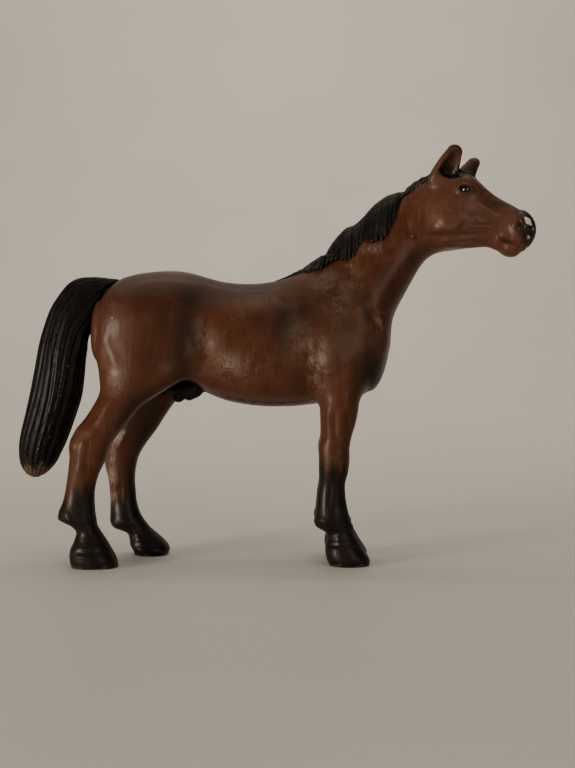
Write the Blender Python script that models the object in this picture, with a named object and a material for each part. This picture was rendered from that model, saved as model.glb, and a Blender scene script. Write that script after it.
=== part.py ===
"""Toy farm horse: a painted plastic figure of a standing bay horse, moulded in pieces that plug together.

The trunk is two hollow half shells that meet on the horse's middle plane. They trap the flanged plugs of the
neck and the tail between them. The four legs plug into the trunk from below, and the mane lies on the crest.
Metres. +X points to the nose, +Y to the horse's left, +Z up, and the soles stand on the plane z = 0.
"""

import math

import bmesh
import bpy
from mathutils import Matrix, Vector

# Trunk
TRUNK_LENGTH = 0.0816
TRUNK_DEPTH = 0.0373
TRUNK_WIDTH = 0.0286
TRUNK_SETBACK = 0.0505  # from the origin back to the rump
BELLY_HEIGHT = 0.0424
SHELL_WALL = 0.0024

# Neck, which rises from the withers
NECK_REACH = 0.0320
NECK_RISE = 0.0472
NECK_WIDTH = 0.0190

# Head
HEAD_LENGTH = 0.0302
HEAD_DEPTH = 0.0201
HEAD_WIDTH = 0.0128
HEAD_TURN = math.radians(14)  # towards the horse's right
EAR_LENGTH = 0.0091
EAR_WIDTH = 0.0056
EAR_THICKNESS = 0.0030
EAR_CUP_WALL = 0.0008
EYE_RADIUS = 0.0015
NOSTRIL_RADIUS = 0.0013
MOUTH_GAP = 0.0005

# Legs: spans are front to back, and the outlines of the legs are shares of them
LEG_SEAM_DROP = 0.0009  # from the belly down to the plane where the legs plug in
HIND_LEG_SPAN = 0.0300
HIND_LEG_WIDTH = 0.0100
FRONT_LEG_SPAN = 0.0300
FRONT_LEG_WIDTH = 0.0100
FRONT_LEG_STAGGER = 0.0009  # how far the left one stands ahead of the right one

# Tail and mane
TAIL_REACH = 0.0257
TAIL_DROP = 0.0556
TAIL_WIDTH = 0.0104
TAIL_FLUTE = 0.0004
MANE_THICKNESS = 0.0011
MANE_SEAT = 0.0010  # how far its inner face starts inside what it lies on, before it is cut

# Plugs, sockets and pins
CLEARANCE = 0.0003
SOCKET_WALL = 0.0018
LEG_PLUG_LENGTH = 0.0060
LEG_PLUG_HALF_LENGTH = 0.0028
LEG_PLUG_HALF_WIDTH = 0.0020
NECK_PLUG_LENGTH = 0.0080
NECK_PLUG_HALF_DEPTH = 0.0058
NECK_PLUG_HALF_WIDTH = 0.0042
TAIL_PLUG_LENGTH = 0.0062
TAIL_PLUG_HALF_DEPTH = 0.0026
TAIL_PLUG_HALF_WIDTH = 0.0018
PLUG_FLANGE = 0.0010
PLUG_FLANGE_THICKNESS = 0.0016
PLUG_ROOT = 0.0030  # how far a plug starts inside its own piece
PIN_RADIUS = 0.0012
PIN_LENGTH = 0.0030
PIN_BOSS_WALL = 0.0014

# How finely the rings of a skin are set
TRUNK_SIDES = 28
LIMB_SIDES = 14
NECK_SIDES = 20
EAR_SIDES = 12
EYE_SIDES = 10
TAIL_SIDES = 30
TAIL_FLUTES = 10
MANE_SIDES = 8
MANE_STEPS = 3  # rings to each row of its table
MANE_LOCK_STEPS = 3  # rings to each lock
PLUG_SIDES = 16
SHARP_ANGLE = math.radians(50)
SLIVER = 0.000001  # edges shorter than this close up after each cut
FAR = 0.2  # the size of a block that cuts away half of space

FORWARD, SIDEWAYS, UP = Vector((1, 0, 0)), Vector((0, 1, 0)), Vector((0, 0, 1))

# The tables below are outlines, written as shares of the sizes that their comments name.

# Trunk: place along TRUNK_LENGTH; top and bottom in TRUNK_DEPTH; width in TRUNK_WIDTH; how much wider below
barrel_shares = [
    (0.000, 0.66, 0.49, 0.24, 0.00),
    (0.015, 0.72, 0.42, 0.48, 0.00),
    (0.034, 0.80, 0.37, 0.64, 0.00),
    (0.061, 0.870, 0.33, 0.77, 0.02),
    (0.095, 0.930, 0.30, 0.86, 0.04),
    (0.142, 0.969, 0.28, 0.93, 0.06),
    (0.203, 0.989, 0.27, 0.96, 0.08),
    (0.264, 0.997, 0.25, 0.95, 0.10),
    (0.325, 0.986, 0.19, 0.915, 0.13),
    (0.385, 0.953, 0.105, 0.915, 0.15),
    (0.446, 0.912, 0.052, 0.955, 0.16),
    (0.517, 0.895, 0.015, 0.99, 0.16),
    (0.588, 0.903, 0.000, 1.00, 0.17),
    (0.649, 0.930, 0.000, 0.985, 0.19),
    (0.703, 0.975, 0.006, 0.950, 0.22),
    (0.757, 1.015, 0.020, 0.900, 0.27),
    (0.804, 0.990, 0.038, 0.850, 0.30),
    (0.850, 0.930, 0.052, 0.790, 0.28),
    (0.892, 0.870, 0.068, 0.710, 0.22),
    (0.933, 0.810, 0.104, 0.610, 0.16),
    (0.960, 0.760, 0.160, 0.510, 0.10),
    (0.982, 0.720, 0.240, 0.400, 0.05),
    (1.000, 0.640, 0.380, 0.240, 0.00),
]
hollow_shares = (0.09, 0.86)  # first and last place of the air inside, along TRUNK_LENGTH

# Limbs: height, where 0 to 1 is from the ground to the leg seam and above 1 it grows by TRUNK_DEPTH; centre
# and half size front to back in the leg's span; centre sideways in half TRUNK_WIDTH; half width in its width
right_hind_shares = [
    (0.000, -0.283, 0.198, 0.77, 0.53),
    (0.045, -0.298, 0.207, 0.77, 0.55),
    (0.110, -0.322, 0.178, 0.77, 0.50),
    (0.173, -0.332, 0.134, 0.77, 0.40),
    (0.232, -0.352, 0.103, 0.77, 0.34),
    (0.263, -0.385, 0.118, 0.77, 0.35),
    (0.300, -0.431, 0.154, 0.77, 0.39),
    (0.340, -0.438, 0.155, 0.77, 0.38),
    (0.417, -0.427, 0.140, 0.775, 0.33),
    (0.492, -0.413, 0.130, 0.78, 0.31),
    (0.569, -0.393, 0.133, 0.78, 0.33),
    (0.684, -0.350, 0.160, 0.765, 0.38),
    (0.793, -0.320, 0.187, 0.74, 0.42),
    (0.875, -0.253, 0.200, 0.71, 0.44),
    (0.952, -0.173, 0.203, 0.68, 0.46),
    (1.000, -0.120, 0.210, 0.66, 0.48),
    (1.050, -0.073, 0.233, 0.64, 0.50),
    (1.118, 0.010, 0.270, 0.60, 0.54),
    (1.250, 0.150, 0.385, 0.55, 0.60),
    (1.400, 0.133, 0.400, 0.50, 0.66),
    (1.600, 0.100, 0.393, 0.46, 0.68),
    (1.780, 0.100, 0.317, 0.40, 0.60),
    (1.900, 0.110, 0.183, 0.34, 0.36),
]
left_hind_shares = [
    (0.000, 0.123, 0.150, 0.77, 0.48),
    (0.028, 0.127, 0.175, 0.77, 0.55),
    (0.063, 0.107, 0.180, 0.77, 0.53),
    (0.106, 0.077, 0.160, 0.77, 0.44),
    (0.149, 0.027, 0.143, 0.77, 0.36),
    (0.180, -0.047, 0.165, 0.77, 0.36),
    (0.217, -0.093, 0.170, 0.77, 0.39),
    (0.272, -0.120, 0.147, 0.77, 0.37),
    (0.354, -0.140, 0.127, 0.775, 0.33),
    (0.438, -0.150, 0.123, 0.78, 0.31),
    (0.520, -0.160, 0.127, 0.78, 0.33),
    (0.602, -0.167, 0.147, 0.77, 0.36),
    (0.687, -0.153, 0.167, 0.755, 0.39),
    (0.769, -0.117, 0.190, 0.74, 0.42),
    (0.850, -0.057, 0.213, 0.71, 0.44),
    (0.935, 0.000, 0.227, 0.68, 0.46),
    (1.000, 0.043, 0.240, 0.66, 0.48),
    (1.050, 0.080, 0.260, 0.64, 0.50),
    (1.118, 0.117, 0.293, 0.60, 0.54),
    (1.250, 0.170, 0.375, 0.55, 0.60),
    (1.400, 0.150, 0.395, 0.50, 0.66),
    (1.600, 0.107, 0.393, 0.46, 0.68),
    (1.780, 0.100, 0.317, 0.40, 0.60),
    (1.900, 0.110, 0.183, 0.34, 0.36),
]
front_shares = [
    (0.000, 0.113, 0.175, 0.56, 0.49),
    (0.030, 0.108, 0.190, 0.56, 0.53),
    (0.094, 0.080, 0.183, 0.56, 0.51),
    (0.135, 0.060, 0.170, 0.56, 0.45),
    (0.173, 0.053, 0.147, 0.56, 0.38),
    (0.208, 0.037, 0.138, 0.56, 0.35),
    (0.248, -0.017, 0.163, 0.56, 0.37),
    (0.289, -0.040, 0.160, 0.56, 0.39),
    (0.328, -0.040, 0.150, 0.56, 0.38),
    (0.366, -0.043, 0.140, 0.56, 0.35),
    (0.443, -0.047, 0.125, 0.56, 0.31),
    (0.523, -0.040, 0.118, 0.56, 0.30),
    (0.600, -0.027, 0.130, 0.56, 0.35),
    (0.677, -0.020, 0.138, 0.56, 0.38),
    (0.754, -0.023, 0.140, 0.56, 0.37),
    (0.831, -0.013, 0.133, 0.56, 0.36),
    (0.911, -0.003, 0.143, 0.555, 0.39),
    (1.000, 0.000, 0.155, 0.55, 0.43),
    (1.060, 0.007, 0.165, 0.54, 0.47),
    (1.145, 0.020, 0.197, 0.51, 0.52),
    (1.280, 0.067, 0.283, 0.46, 0.62),
    (1.440, 0.093, 0.325, 0.42, 0.66),
    (1.630, 0.050, 0.335, 0.36, 0.66),
    (1.810, -0.080, 0.290, 0.28, 0.58),
    (1.920, -0.170, 0.180, 0.20, 0.40),
]
# Where the outlines of the limbs start, along TRUNK_LENGTH
hind_root_share = 0.1385
front_root_share = 0.8210

# Neck: crest and underside in NECK_REACH and NECK_RISE from the withers; width in NECK_WIDTH; wider below
neck_base_shares = [
    (-0.064, -0.078, 0.546, -0.587, 1.22, 0.26),
    (0.024, 0.019, 0.599, -0.449, 1.16, 0.30),
]
# The base lies in the trunk, and the rows from the plane where the neck meets the trunk go on from it
neck_shares = [
    (0.121, 0.102, 0.633, -0.311, 1.04, 0.33),
    (0.246, 0.204, 0.666, -0.216, 0.92, 0.36),
    (0.367, 0.259, 0.708, -0.144, 0.80, 0.36),
    (0.502, 0.341, 0.770, -0.066, 0.73, 0.34),
    (0.652, 0.407, 0.835, 0.015, 0.67, 0.28),
    (0.786, 0.458, 0.905, 0.087, 0.63, 0.20),
    (0.924, 0.500, 0.999, 0.140, 0.58, 0.10),
    (1.030, 0.516, 1.090, 0.186, 0.46, 0.00),
]
withers_shares = (0.764, 1.000)  # where the neck's outline starts, in TRUNK_LENGTH and TRUNK_DEPTH

# Head: place along HEAD_LENGTH; top and bottom in HEAD_DEPTH; width in HEAD_WIDTH; how much wider below
head_shares = [
    (0.000, 0.820, 0.200, 0.62, 0.00),
    (0.051, 0.927, 0.048, 0.80, 0.00),
    (0.141, 0.977, -0.002, 0.93, 0.00),
    (0.228, 0.988, -0.012, 0.98, -0.04),
    (0.318, 0.982, -0.022, 1.00, -0.08),
    (0.434, 0.950, -0.018, 0.92, -0.10),
    (0.495, 0.868, -0.015, 0.82, -0.08),
    (0.556, 0.765, -0.015, 0.72, -0.06),
    (0.646, 0.650, -0.064, 0.62, -0.04),
    (0.743, 0.562, -0.134, 0.60, -0.02),
    (0.823, 0.490, -0.125, 0.64, 0.00),
    (0.894, 0.440, -0.054, 0.64, 0.00),
    (0.955, 0.365, 0.050, 0.52, 0.00),
    (0.995, 0.255, 0.175, 0.22, 0.00),
]
head_root_shares = (0.916, 0.134)  # the lower back of the head, in NECK_REACH and NECK_RISE from the withers
# Places on the head: in HEAD_LENGTH and HEAD_DEPTH, and sideways in half HEAD_WIDTH
eye_shares = (0.390, 0.740, 0.68)
nostril_shares = (0.850, 0.200, 0.62)
mouth_shares = [(0.700, 0.060, 0.0), (0.960, -0.065, 0.0)]
right_ear_shares = (0.185, 0.920, -0.58)
left_ear_shares = (0.320, 0.900, 0.54)
# How the ears stand: degrees forward, outward, and how far the cup turns towards the horse's right
right_ear_lean = (18, 8, 62)
left_ear_lean = (25, 25, -35)
# Ear from root to tip: place along EAR_LENGTH, width in EAR_WIDTH, thickness in EAR_THICKNESS
ear_shares = [
    (-0.12, 1.16, 1.20),
    (0.00, 1.14, 1.14),
    (0.20, 1.10, 1.06),
    (0.42, 1.02, 1.00),
    (0.64, 0.90, 0.86),
    (0.84, 0.60, 0.62),
    (0.95, 0.34, 0.42),
    (1.00, 0.14, 0.20),
]
ear_cup_start_share = 0.20

# Tail: outer and inner edge in TAIL_REACH back and TAIL_DROP down from its root; width in TAIL_WIDTH
tail_shares = [
    (-0.070, 0.012, -0.020, 0.040, 0.36),
    (0.000, 0.008, 0.064, 0.072, 0.50),
    (0.171, 0.000, 0.140, 0.115, 0.62),
    (0.342, 0.002, 0.183, 0.174, 0.73),
    (0.471, 0.032, 0.214, 0.225, 0.81),
    (0.580, 0.092, 0.226, 0.264, 0.87),
    (0.665, 0.160, 0.245, 0.309, 0.91),
    (0.739, 0.255, 0.257, 0.363, 0.95),
    (0.786, 0.338, 0.272, 0.414, 0.98),
    (0.829, 0.448, 0.288, 0.493, 1.00),
    (0.879, 0.572, 0.319, 0.592, 1.00),
    (0.934, 0.685, 0.389, 0.696, 0.97),
    (0.984, 0.786, 0.471, 0.800, 0.91),
    (1.000, 0.860, 0.541, 0.869, 0.83),
    (0.981, 0.930, 0.611, 0.930, 0.70),
    (0.922, 0.976, 0.716, 0.978, 0.48),
    (0.848, 0.998, 0.806, 0.998, 0.16),
]
tail_root_shares = (0.0674, 0.9560)  # in TRUNK_LENGTH and TRUNK_DEPTH
tail_plug_shares = (0.060, 0.800)
tail_plug_droop_share = 0.2  # how far the plug points down, in its own length

# Mane: how high its outer face stands in MANE_THICKNESS, then how far it reaches down the left side and down
# the right side, in the height of what it lies on. Over the withers a row starts with a place in TRUNK_LENGTH
withers_mane_shares = [
    (0.690, 0.10, 0.002, 0.002),
    (0.715, 0.60, 0.003, 0.005),
    (0.738, 1.00, 0.005, 0.010),
]
# On the neck there is a row for the last row of its base, and one for each row of neck_shares
neck_mane_shares = [
    (1.00, 0.010, 0.040),
    (1.00, 0.020, 0.120),
    (1.05, 0.025, 0.250),
    (1.10, 0.030, 0.260),
    (1.10, 0.030, 0.350),
    (1.05, 0.030, 0.200),
    (1.00, 0.030, 0.080),
    (1.00, 0.030, 0.050),
]
# Over the poll, and in the forelock between the ears, a row starts with a place in HEAD_LENGTH
head_mane_shares = [
    (0.130, 1.30, 0.030, 0.036),
    (0.220, 1.80, 0.024, 0.028),
    (0.310, 2.10, 0.022, 0.022),
    (0.390, 1.90, 0.020, 0.020),
    (0.450, 1.20, 0.016, 0.016),
    (0.490, 0.40, 0.008, 0.008),
]
mane_lock_share = 0.16  # how far a lock stands out past its row

# Pins across the middle plane, in TRUNK_LENGTH and TRUNK_DEPTH
pin_shares = [(0.24, 0.60), (0.46, 0.30), (0.60, 0.66)]
# The sheath under the belly: place in TRUNK_LENGTH and TRUNK_DEPTH, half sizes in TRUNK_DEPTH
sheath_shares = (0.335, 0.138)
sheath_size_shares = (0.098, 0.070, 0.092)

BROWN = (0.115, 0.034, 0.016, 1.0)
BLACK = (0.012, 0.010, 0.010, 1.0)
DARK_BROWN = (0.055, 0.020, 0.012, 1.0)


def plastic(name, colour, roughness):
    """A moulded and painted plastic."""
    made = bpy.data.materials.new(name)
    made.use_nodes = True
    shader = made.node_tree.nodes["Principled BSDF"]
    shader.inputs["Base Color"].default_value = colour
    shader.inputs["Roughness"].default_value = roughness
    shader.inputs["Metallic"].default_value = 0.0
    return made


def painted(piece, material):
    piece.data.materials.clear()
    piece.data.materials.append(material)
    return piece


def between(one, other, t):
    return tuple(a + t * (b - a) for a, b in zip(one, other))


def reading(rows, place):
    """One row read between the rows of a table, at a place in its first column."""
    for one, other in zip(rows, rows[1:]):
        if place <= other[0]:
            return between(one, other, (place - one[0]) / (other[0] - one[0]))
    return rows[-1]


def denser(rows, steps):
    """The rows of a table with others read between them, `steps` to each gap."""
    made = [between(one, other, k / steps) for one, other in zip(rows, rows[1:]) for k in range(steps)]
    return made + [rows[-1]]


def oval(centre, across, along, half_width, half_height, sides, wider_below=0.0):
    """A ring of points round `centre`, in the plane of two directions."""
    ring = []
    for k in range(sides):
        angle = math.tau * k / sides
        width = half_width * (1 - wider_below * math.sin(angle))
        ring.append(centre + across * (width * math.cos(angle)) + along * (half_height * math.sin(angle)))
    return ring


def solid(name, made):
    """A new object from a bmesh, with its faces pointing out."""
    bmesh.ops.recalc_face_normals(made, faces=made.faces)
    mesh = bpy.data.meshes.new(name)
    made.to_mesh(mesh)
    made.free()
    piece = bpy.data.objects.new(name, mesh)
    bpy.context.scene.collection.objects.link(piece)
    return piece


def skin(name, rings):
    """A closed solid that runs through the rings, with a cap at each end."""
    made = bmesh.new()
    loops = [[made.verts.new(point) for point in ring] for ring in rings]
    sides = len(loops[0])
    for one, other in zip(loops, loops[1:]):
        for k in range(sides):
            n = (k + 1) % sides
            made.faces.new((one[k], one[n], other[n], other[k]))
    made.faces.new(loops[0])
    made.faces.new(loops[-1])
    return solid(name, made)


def ball(centre, half_sizes):
    """An egg of three half sizes."""
    made = bmesh.new()
    bmesh.ops.create_uvsphere(made, u_segments=EYE_SIDES, v_segments=EYE_SIDES // 2 + 1, radius=1)
    place = Matrix.Translation(centre) @ Matrix.Diagonal((*half_sizes, 1))
    bmesh.ops.transform(made, matrix=place, verts=made.verts)
    return solid("ball", made)


def half_space(point, normal):
    """A block so large that it stands for all of space on one side of a plane."""
    made = bmesh.new()
    bmesh.ops.create_cube(made, size=FAR)
    turn = Vector(normal).to_track_quat("Z", "Y").to_matrix().to_4x4()
    place = Matrix.Translation(Vector(point) + Vector(normal).normalized() * (FAR / 2))
    bmesh.ops.transform(made, matrix=place @ turn, verts=made.verts)
    return solid("half_space", made)


def combine(piece, tools, operation):
    """Joins the tools to a piece (UNION) or cuts them all away (DIFFERENCE), in one exact step."""
    group = bpy.data.collections.new("tools")
    for tool in tools:
        group.objects.link(tool)
    modifier = piece.modifiers.new(operation.lower(), "BOOLEAN")
    modifier.operation = operation
    modifier.solver = "EXACT"
    modifier.operand_type = "COLLECTION"
    modifier.collection = group
    bpy.context.view_layer.update()
    cut = piece.evaluated_get(bpy.context.evaluated_depsgraph_get())
    piece.data = bpy.data.meshes.new_from_object(cut)
    piece.modifiers.clear()
    for tool in tools:
        bpy.data.objects.remove(tool)
    bpy.data.collections.remove(group)
    made = bmesh.new()
    made.from_mesh(piece.data)
    bmesh.ops.triangulate(made, faces=[face for face in made.faces if len(face.verts) > 4])
    bmesh.ops.dissolve_degenerate(made, dist=SLIVER, edges=made.edges)
    made.to_mesh(piece.data)
    made.free()
    return piece


def trunk_point(share_along, share_up):
    """A place in the middle plane, in shares of the trunk's length and depth."""
    return Vector((share_along * TRUNK_LENGTH - TRUNK_SETBACK, 0, BELLY_HEIGHT + share_up * TRUNK_DEPTH))


def neck_point(share_along, share_up):
    return trunk_point(*withers_shares) + Vector((share_along * NECK_REACH, 0, share_up * NECK_RISE))


def leg_seam_height():
    return BELLY_HEIGHT - LEG_SEAM_DROP


def limbs():
    """For each limb: its outline, where that starts along X, its span and width, and the side it is on."""
    front, hind = trunk_point(front_root_share, 0).x, trunk_point(hind_root_share, 0).x
    return {
        "right_front_leg": (front_shares, front, FRONT_LEG_SPAN, FRONT_LEG_WIDTH, -1),
        "left_front_leg": (front_shares, front + FRONT_LEG_STAGGER, FRONT_LEG_SPAN, FRONT_LEG_WIDTH, 1),
        "right_hind_leg": (right_hind_shares, hind, HIND_LEG_SPAN, HIND_LEG_WIDTH, -1),
        "left_hind_leg": (left_hind_shares, hind, HIND_LEG_SPAN, HIND_LEG_WIDTH, 1),
    }


def barrel_place(row, grow=0.0):
    """Centre, half sizes and widening of the trunk's upright oval at one row."""
    along, top, bottom, width, wider_below = row
    high, low = trunk_point(along, top), trunk_point(along, bottom)
    centre = (high + low) / 2 + FORWARD * ((2 * along - 1) * grow)
    return centre, width * TRUNK_WIDTH / 2 + grow, (high.z - low.z) / 2 + grow, wider_below


def barrel(grow=0.0, ends=(0, 1)):
    """The trunk without limbs or neck, between two shares of its length. grow moves its surface outwards."""
    rings = []
    for row in barrel_shares:
        if ends[0] <= row[0] <= ends[1]:
            centre, half_width, half_height, wider_below = barrel_place(row, grow)
            rings.append(oval(centre, SIDEWAYS, UP, half_width, half_height, TRUNK_SIDES, wider_below))
    return skin("barrel", rings)


def limb_rings(shares, root, span, leg_width, side, grow=0.0):
    """Level rings of one limb, from the sole up to the top of its haunch or shoulder."""
    rings = []
    for up, along, half_length, sideways, half_width in shares:
        height = min(up, 1) * leg_seam_height() + max(up - 1, 0) * TRUNK_DEPTH
        centre = Vector((root + along * span, side * sideways * TRUNK_WIDTH / 2, height))
        half_sizes = (half_length * span + grow, half_width * leg_width + grow)
        rings.append(oval(centre, FORWARD, side * SIDEWAYS, *half_sizes, LIMB_SIDES))
    return rings


def neck_place(row, grow=0.0):
    """Centre, upward direction, half sizes and widening of the neck's slanted oval at one row."""
    crest, under = neck_point(*row[0:2]), neck_point(*row[2:4])
    half_width, half_height = row[4] * NECK_WIDTH / 2 + grow, (crest - under).length / 2 + grow
    return (crest + under) / 2, (crest - under).normalized(), half_width, half_height, row[5]


def neck_rings(grow=0.0):
    """Slanted rings from deep in the chest up to the skull."""
    rings = []
    for row in neck_base_shares + neck_shares:
        centre, up, half_width, half_height, wider_below = neck_place(row, grow)
        rings.append(oval(centre, SIDEWAYS, up, half_width, half_height, NECK_SIDES, wider_below))
    return rings


def neck_seam():
    """A point on the plane where the neck meets the trunk, and the direction up the neck."""
    centre, up, *_ = neck_place(neck_shares[0])
    return centre, SIDEWAYS.cross(up)


def plug(start, direction, length, half_depth, half_width, flange=0.0, grow=0.0):
    """An oval peg from `start`, with a flange at its far end if it has one. grow makes its socket."""
    upward = direction.cross(SIDEWAYS)
    profile = [(-PLUG_ROOT, 0.0)]
    if flange:
        neck_end = length - PLUG_FLANGE_THICKNESS - grow
        profile += [(neck_end, 0.0), (neck_end, flange)]
    profile.append((length + grow, flange))
    rings = []
    for along, wide in profile:
        half_sizes = (half_width + wide + grow, half_depth + wide + grow)
        rings.append(oval(start + direction * along, SIDEWAYS, upward, *half_sizes, PLUG_SIDES))
    return skin("plug", rings)


def leg_plug(name, grow=0.0, longer=0.0):
    """The upright peg of one leg, or the socket or the boss around it."""
    shares, root, span, _, side = limbs()[name]
    _, along, _, sideways, _ = reading(shares, 1)
    start = Vector((root + along * span, side * sideways * TRUNK_WIDTH / 2, leg_seam_height()))
    return plug(start, UP, LEG_PLUG_LENGTH + longer, LEG_PLUG_HALF_LENGTH, LEG_PLUG_HALF_WIDTH, grow=grow)


def neck_plug(grow=0.0, longer=0.0):
    point, up_the_neck = neck_seam()
    half_sizes = (NECK_PLUG_HALF_DEPTH, NECK_PLUG_HALF_WIDTH)
    return plug(point, -up_the_neck, NECK_PLUG_LENGTH + longer, *half_sizes, PLUG_FLANGE, grow)


def tail_plug(grow=0.0, longer=0.0):
    point, direction = trunk_point(*tail_plug_shares), (FORWARD - UP * tail_plug_droop_share).normalized()
    half_sizes = (TAIL_PLUG_HALF_DEPTH, TAIL_PLUG_HALF_WIDTH)
    return plug(point, direction, TAIL_PLUG_LENGTH + longer, *half_sizes, PLUG_FLANGE, grow)


def pin(place, start, end, radius):
    """A round bar across the middle plane, from one place along Y to another."""
    centres = [trunk_point(*place) + SIDEWAYS * y for y in (start, end)]
    return skin("pin", [oval(centre, FORWARD, UP, radius, radius, PLUG_SIDES) for centre in centres])


def trunk_masses(name, grow=0.0):
    """Barrel, limbs, neck and sheath as one solid, which the shells and the neck are cut from."""
    body = barrel(grow)
    body.name = name
    masses = [skin("limb", limb_rings(*limb, grow)) for limb in limbs().values()]
    masses.append(skin("neck", neck_rings(grow)))
    masses.append(ball(trunk_point(*sheath_shares), [share * TRUNK_DEPTH for share in sheath_size_shares]))
    return combine(body, masses, "UNION")


def build_hollow():
    """The air inside the trunk, round the bosses of its sockets and pins."""
    bosses = [neck_plug(SOCKET_WALL, SOCKET_WALL), tail_plug(SOCKET_WALL, SOCKET_WALL)]
    bosses += [leg_plug(name, SOCKET_WALL, SOCKET_WALL) for name in limbs()]
    bosses += [pin(place, -TRUNK_WIDTH, TRUNK_WIDTH, PIN_RADIUS + PIN_BOSS_WALL) for place in pin_shares]
    return combine(barrel(-SHELL_WALL, hollow_shares), bosses, "DIFFERENCE")


def build_shell(name, side, hide):
    """One hollow half of the trunk. The left half has the pins and the right half their holes."""
    point, up_the_neck = neck_seam()
    cutters = [
        half_space(SIDEWAYS * (side * CLEARANCE / 2), -side * SIDEWAYS),
        half_space(UP * (leg_seam_height() + CLEARANCE / 2), -UP),
        half_space(point - up_the_neck * (CLEARANCE / 2), up_the_neck),
        build_hollow(),
        neck_plug(CLEARANCE),
        tail_plug(CLEARANCE),
    ]
    cutters += [leg_plug(leg, CLEARANCE) for leg in limbs()]
    if side < 0:
        hole_end, hole_radius = -PIN_LENGTH - CLEARANCE, PIN_RADIUS + CLEARANCE
        cutters += [pin(place, hole_end, PIN_RADIUS, hole_radius) for place in pin_shares]
    shell = combine(trunk_masses(name), cutters, "DIFFERENCE")
    if side > 0:
        combine(shell, [pin(place, -PIN_LENGTH, PIN_RADIUS, PIN_RADIUS) for place in pin_shares], "UNION")
    return painted(shell, hide)


def build_leg(name, hide):
    """One leg below its seam, with the peg that plugs into the trunk."""
    leg = skin(name, limb_rings(*limbs()[name]))
    combine(leg, [half_space(UP * (leg_seam_height() - CLEARANCE / 2), UP)], "DIFFERENCE")
    combine(leg, [leg_plug(name)], "UNION")
    return painted(leg, hide)


def head_frame():
    """The head's own frame: origin at its lower back, X to the nose, turned a little to the right."""
    return Matrix.Translation(neck_point(*head_root_shares)) @ Matrix.Rotation(-HEAD_TURN, 4, "Z")


def in_head_frame(piece):
    """Moves a piece that was made in the head's own frame to its place."""
    piece.data.transform(head_frame())
    return piece


def head_point(share_along, share_up, share_aside=0.0):
    """A place in the head's own frame."""
    return Vector((share_along * HEAD_LENGTH, share_aside * HEAD_WIDTH / 2, share_up * HEAD_DEPTH))


def head_place(row, grow=0.0):
    """Centre, half sizes and widening of the head's upright oval at one row, in its own frame."""
    along, top, bottom, width, wider_below = row
    high, low = head_point(along, top), head_point(along, bottom)
    centre = (high + low) / 2 + FORWARD * ((2 * along - 1) * grow)
    return centre, width * HEAD_WIDTH / 2 + grow, (high.z - low.z) / 2 + grow, wider_below


def head_skin(grow=0.0):
    rings = []
    for row in head_shares:
        centre, half_width, half_height, wider_below = head_place(row, grow)
        rings.append(oval(centre, SIDEWAYS, UP, half_width, half_height, NECK_SIDES, wider_below))
    return in_head_frame(skin("head", rings))


def leaf(ahead, thinner, start, grow):
    """The ear's outline as a solid that stands on the origin, `ahead` of it along X."""
    rings = []
    for along, width, thickness in ear_shares:
        if along >= start:
            centre = Vector((ahead, 0, along * (EAR_LENGTH - thinner)))
            half_width = max(width * EAR_WIDTH / 2 - thinner, CLEARANCE) + grow
            half_thickness = max((thickness * EAR_THICKNESS - thinner) / 2, CLEARANCE) + grow
            rings.append(oval(centre, SIDEWAYS, FORWARD, half_width, half_thickness, EAR_SIDES))
    return skin("ear", rings)


def ear(place, lean, grow=0.0):
    """A leaf-shaped ear with a cupped front, or without the cup where it is grown to cut the mane."""
    made = leaf(0, 0, ear_shares[0][0], grow)
    if not grow:
        combine(made, [leaf(EAR_THICKNESS / 2, EAR_CUP_WALL, ear_cup_start_share, 0)], "DIFFERENCE")
    forward, outward, turn = (math.radians(angle) for angle in lean)
    side = math.copysign(1, place[2])
    stand = Matrix.Rotation(-side * outward, 4, "X") @ Matrix.Rotation(forward, 4, "Y")
    made.data.transform(Matrix.Translation(head_point(*place)) @ stand @ Matrix.Rotation(-turn, 4, "Z"))
    return in_head_frame(made)


def ears(grow=0.0):
    return [ear(right_ear_shares, right_ear_lean, grow), ear(left_ear_shares, left_ear_lean, grow)]


def mouth():
    """A thin wedge that parts the lips, from their corner to in front of the nose."""
    corners = ((-1, -1), (1, -1), (1, 1), (-1, 1))
    rings = []
    for place in mouth_shares:
        centre = head_point(*place)
        rings.append([centre + SIDEWAYS * (y * HEAD_WIDTH) + UP * (z * MOUTH_GAP / 2) for y, z in corners])
    return in_head_frame(skin("mouth", rings))


def build_head_and_neck(hide):
    """Neck, skull, ears and the plug that the trunk's shells trap."""
    piece = trunk_masses("head_and_neck")
    point, up_the_neck = neck_seam()
    combine(piece, [half_space(point + up_the_neck * (CLEARANCE / 2), -up_the_neck)], "DIFFERENCE")
    added = [head_skin(), neck_plug(), *ears()]
    taken = [mouth()]
    for side in (-1, 1):
        along, up, aside = eye_shares
        added.append(in_head_frame(ball(head_point(along, up, side * aside), [EYE_RADIUS] * 3)))
        along, up, aside = nostril_shares
        taken.append(in_head_frame(ball(head_point(along, up, side * aside), [NOSTRIL_RADIUS] * 3)))
    combine(piece, added, "UNION")
    combine(piece, taken, "DIFFERENCE")
    return painted(piece, hide)


def tail_ring(row):
    """One slanted ring of the tail, pressed in at each flute."""
    outer_back, outer_down, inner_back, inner_down, width = row
    root = trunk_point(*tail_root_shares)
    outer = root - FORWARD * (outer_back * TAIL_REACH) - UP * (outer_down * TAIL_DROP)
    inner = root - FORWARD * (inner_back * TAIL_REACH) - UP * (inner_down * TAIL_DROP)
    centre, across = (outer + inner) / 2, outer - inner
    ring = oval(centre, SIDEWAYS, across.normalized(), width * TAIL_WIDTH / 2, across.length / 2, TAIL_SIDES)
    for k in range(0, TAIL_SIDES, TAIL_SIDES // TAIL_FLUTES):
        ring[k] -= (ring[k] - centre).normalized() * (TAIL_FLUTE * width)
    return ring


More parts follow.
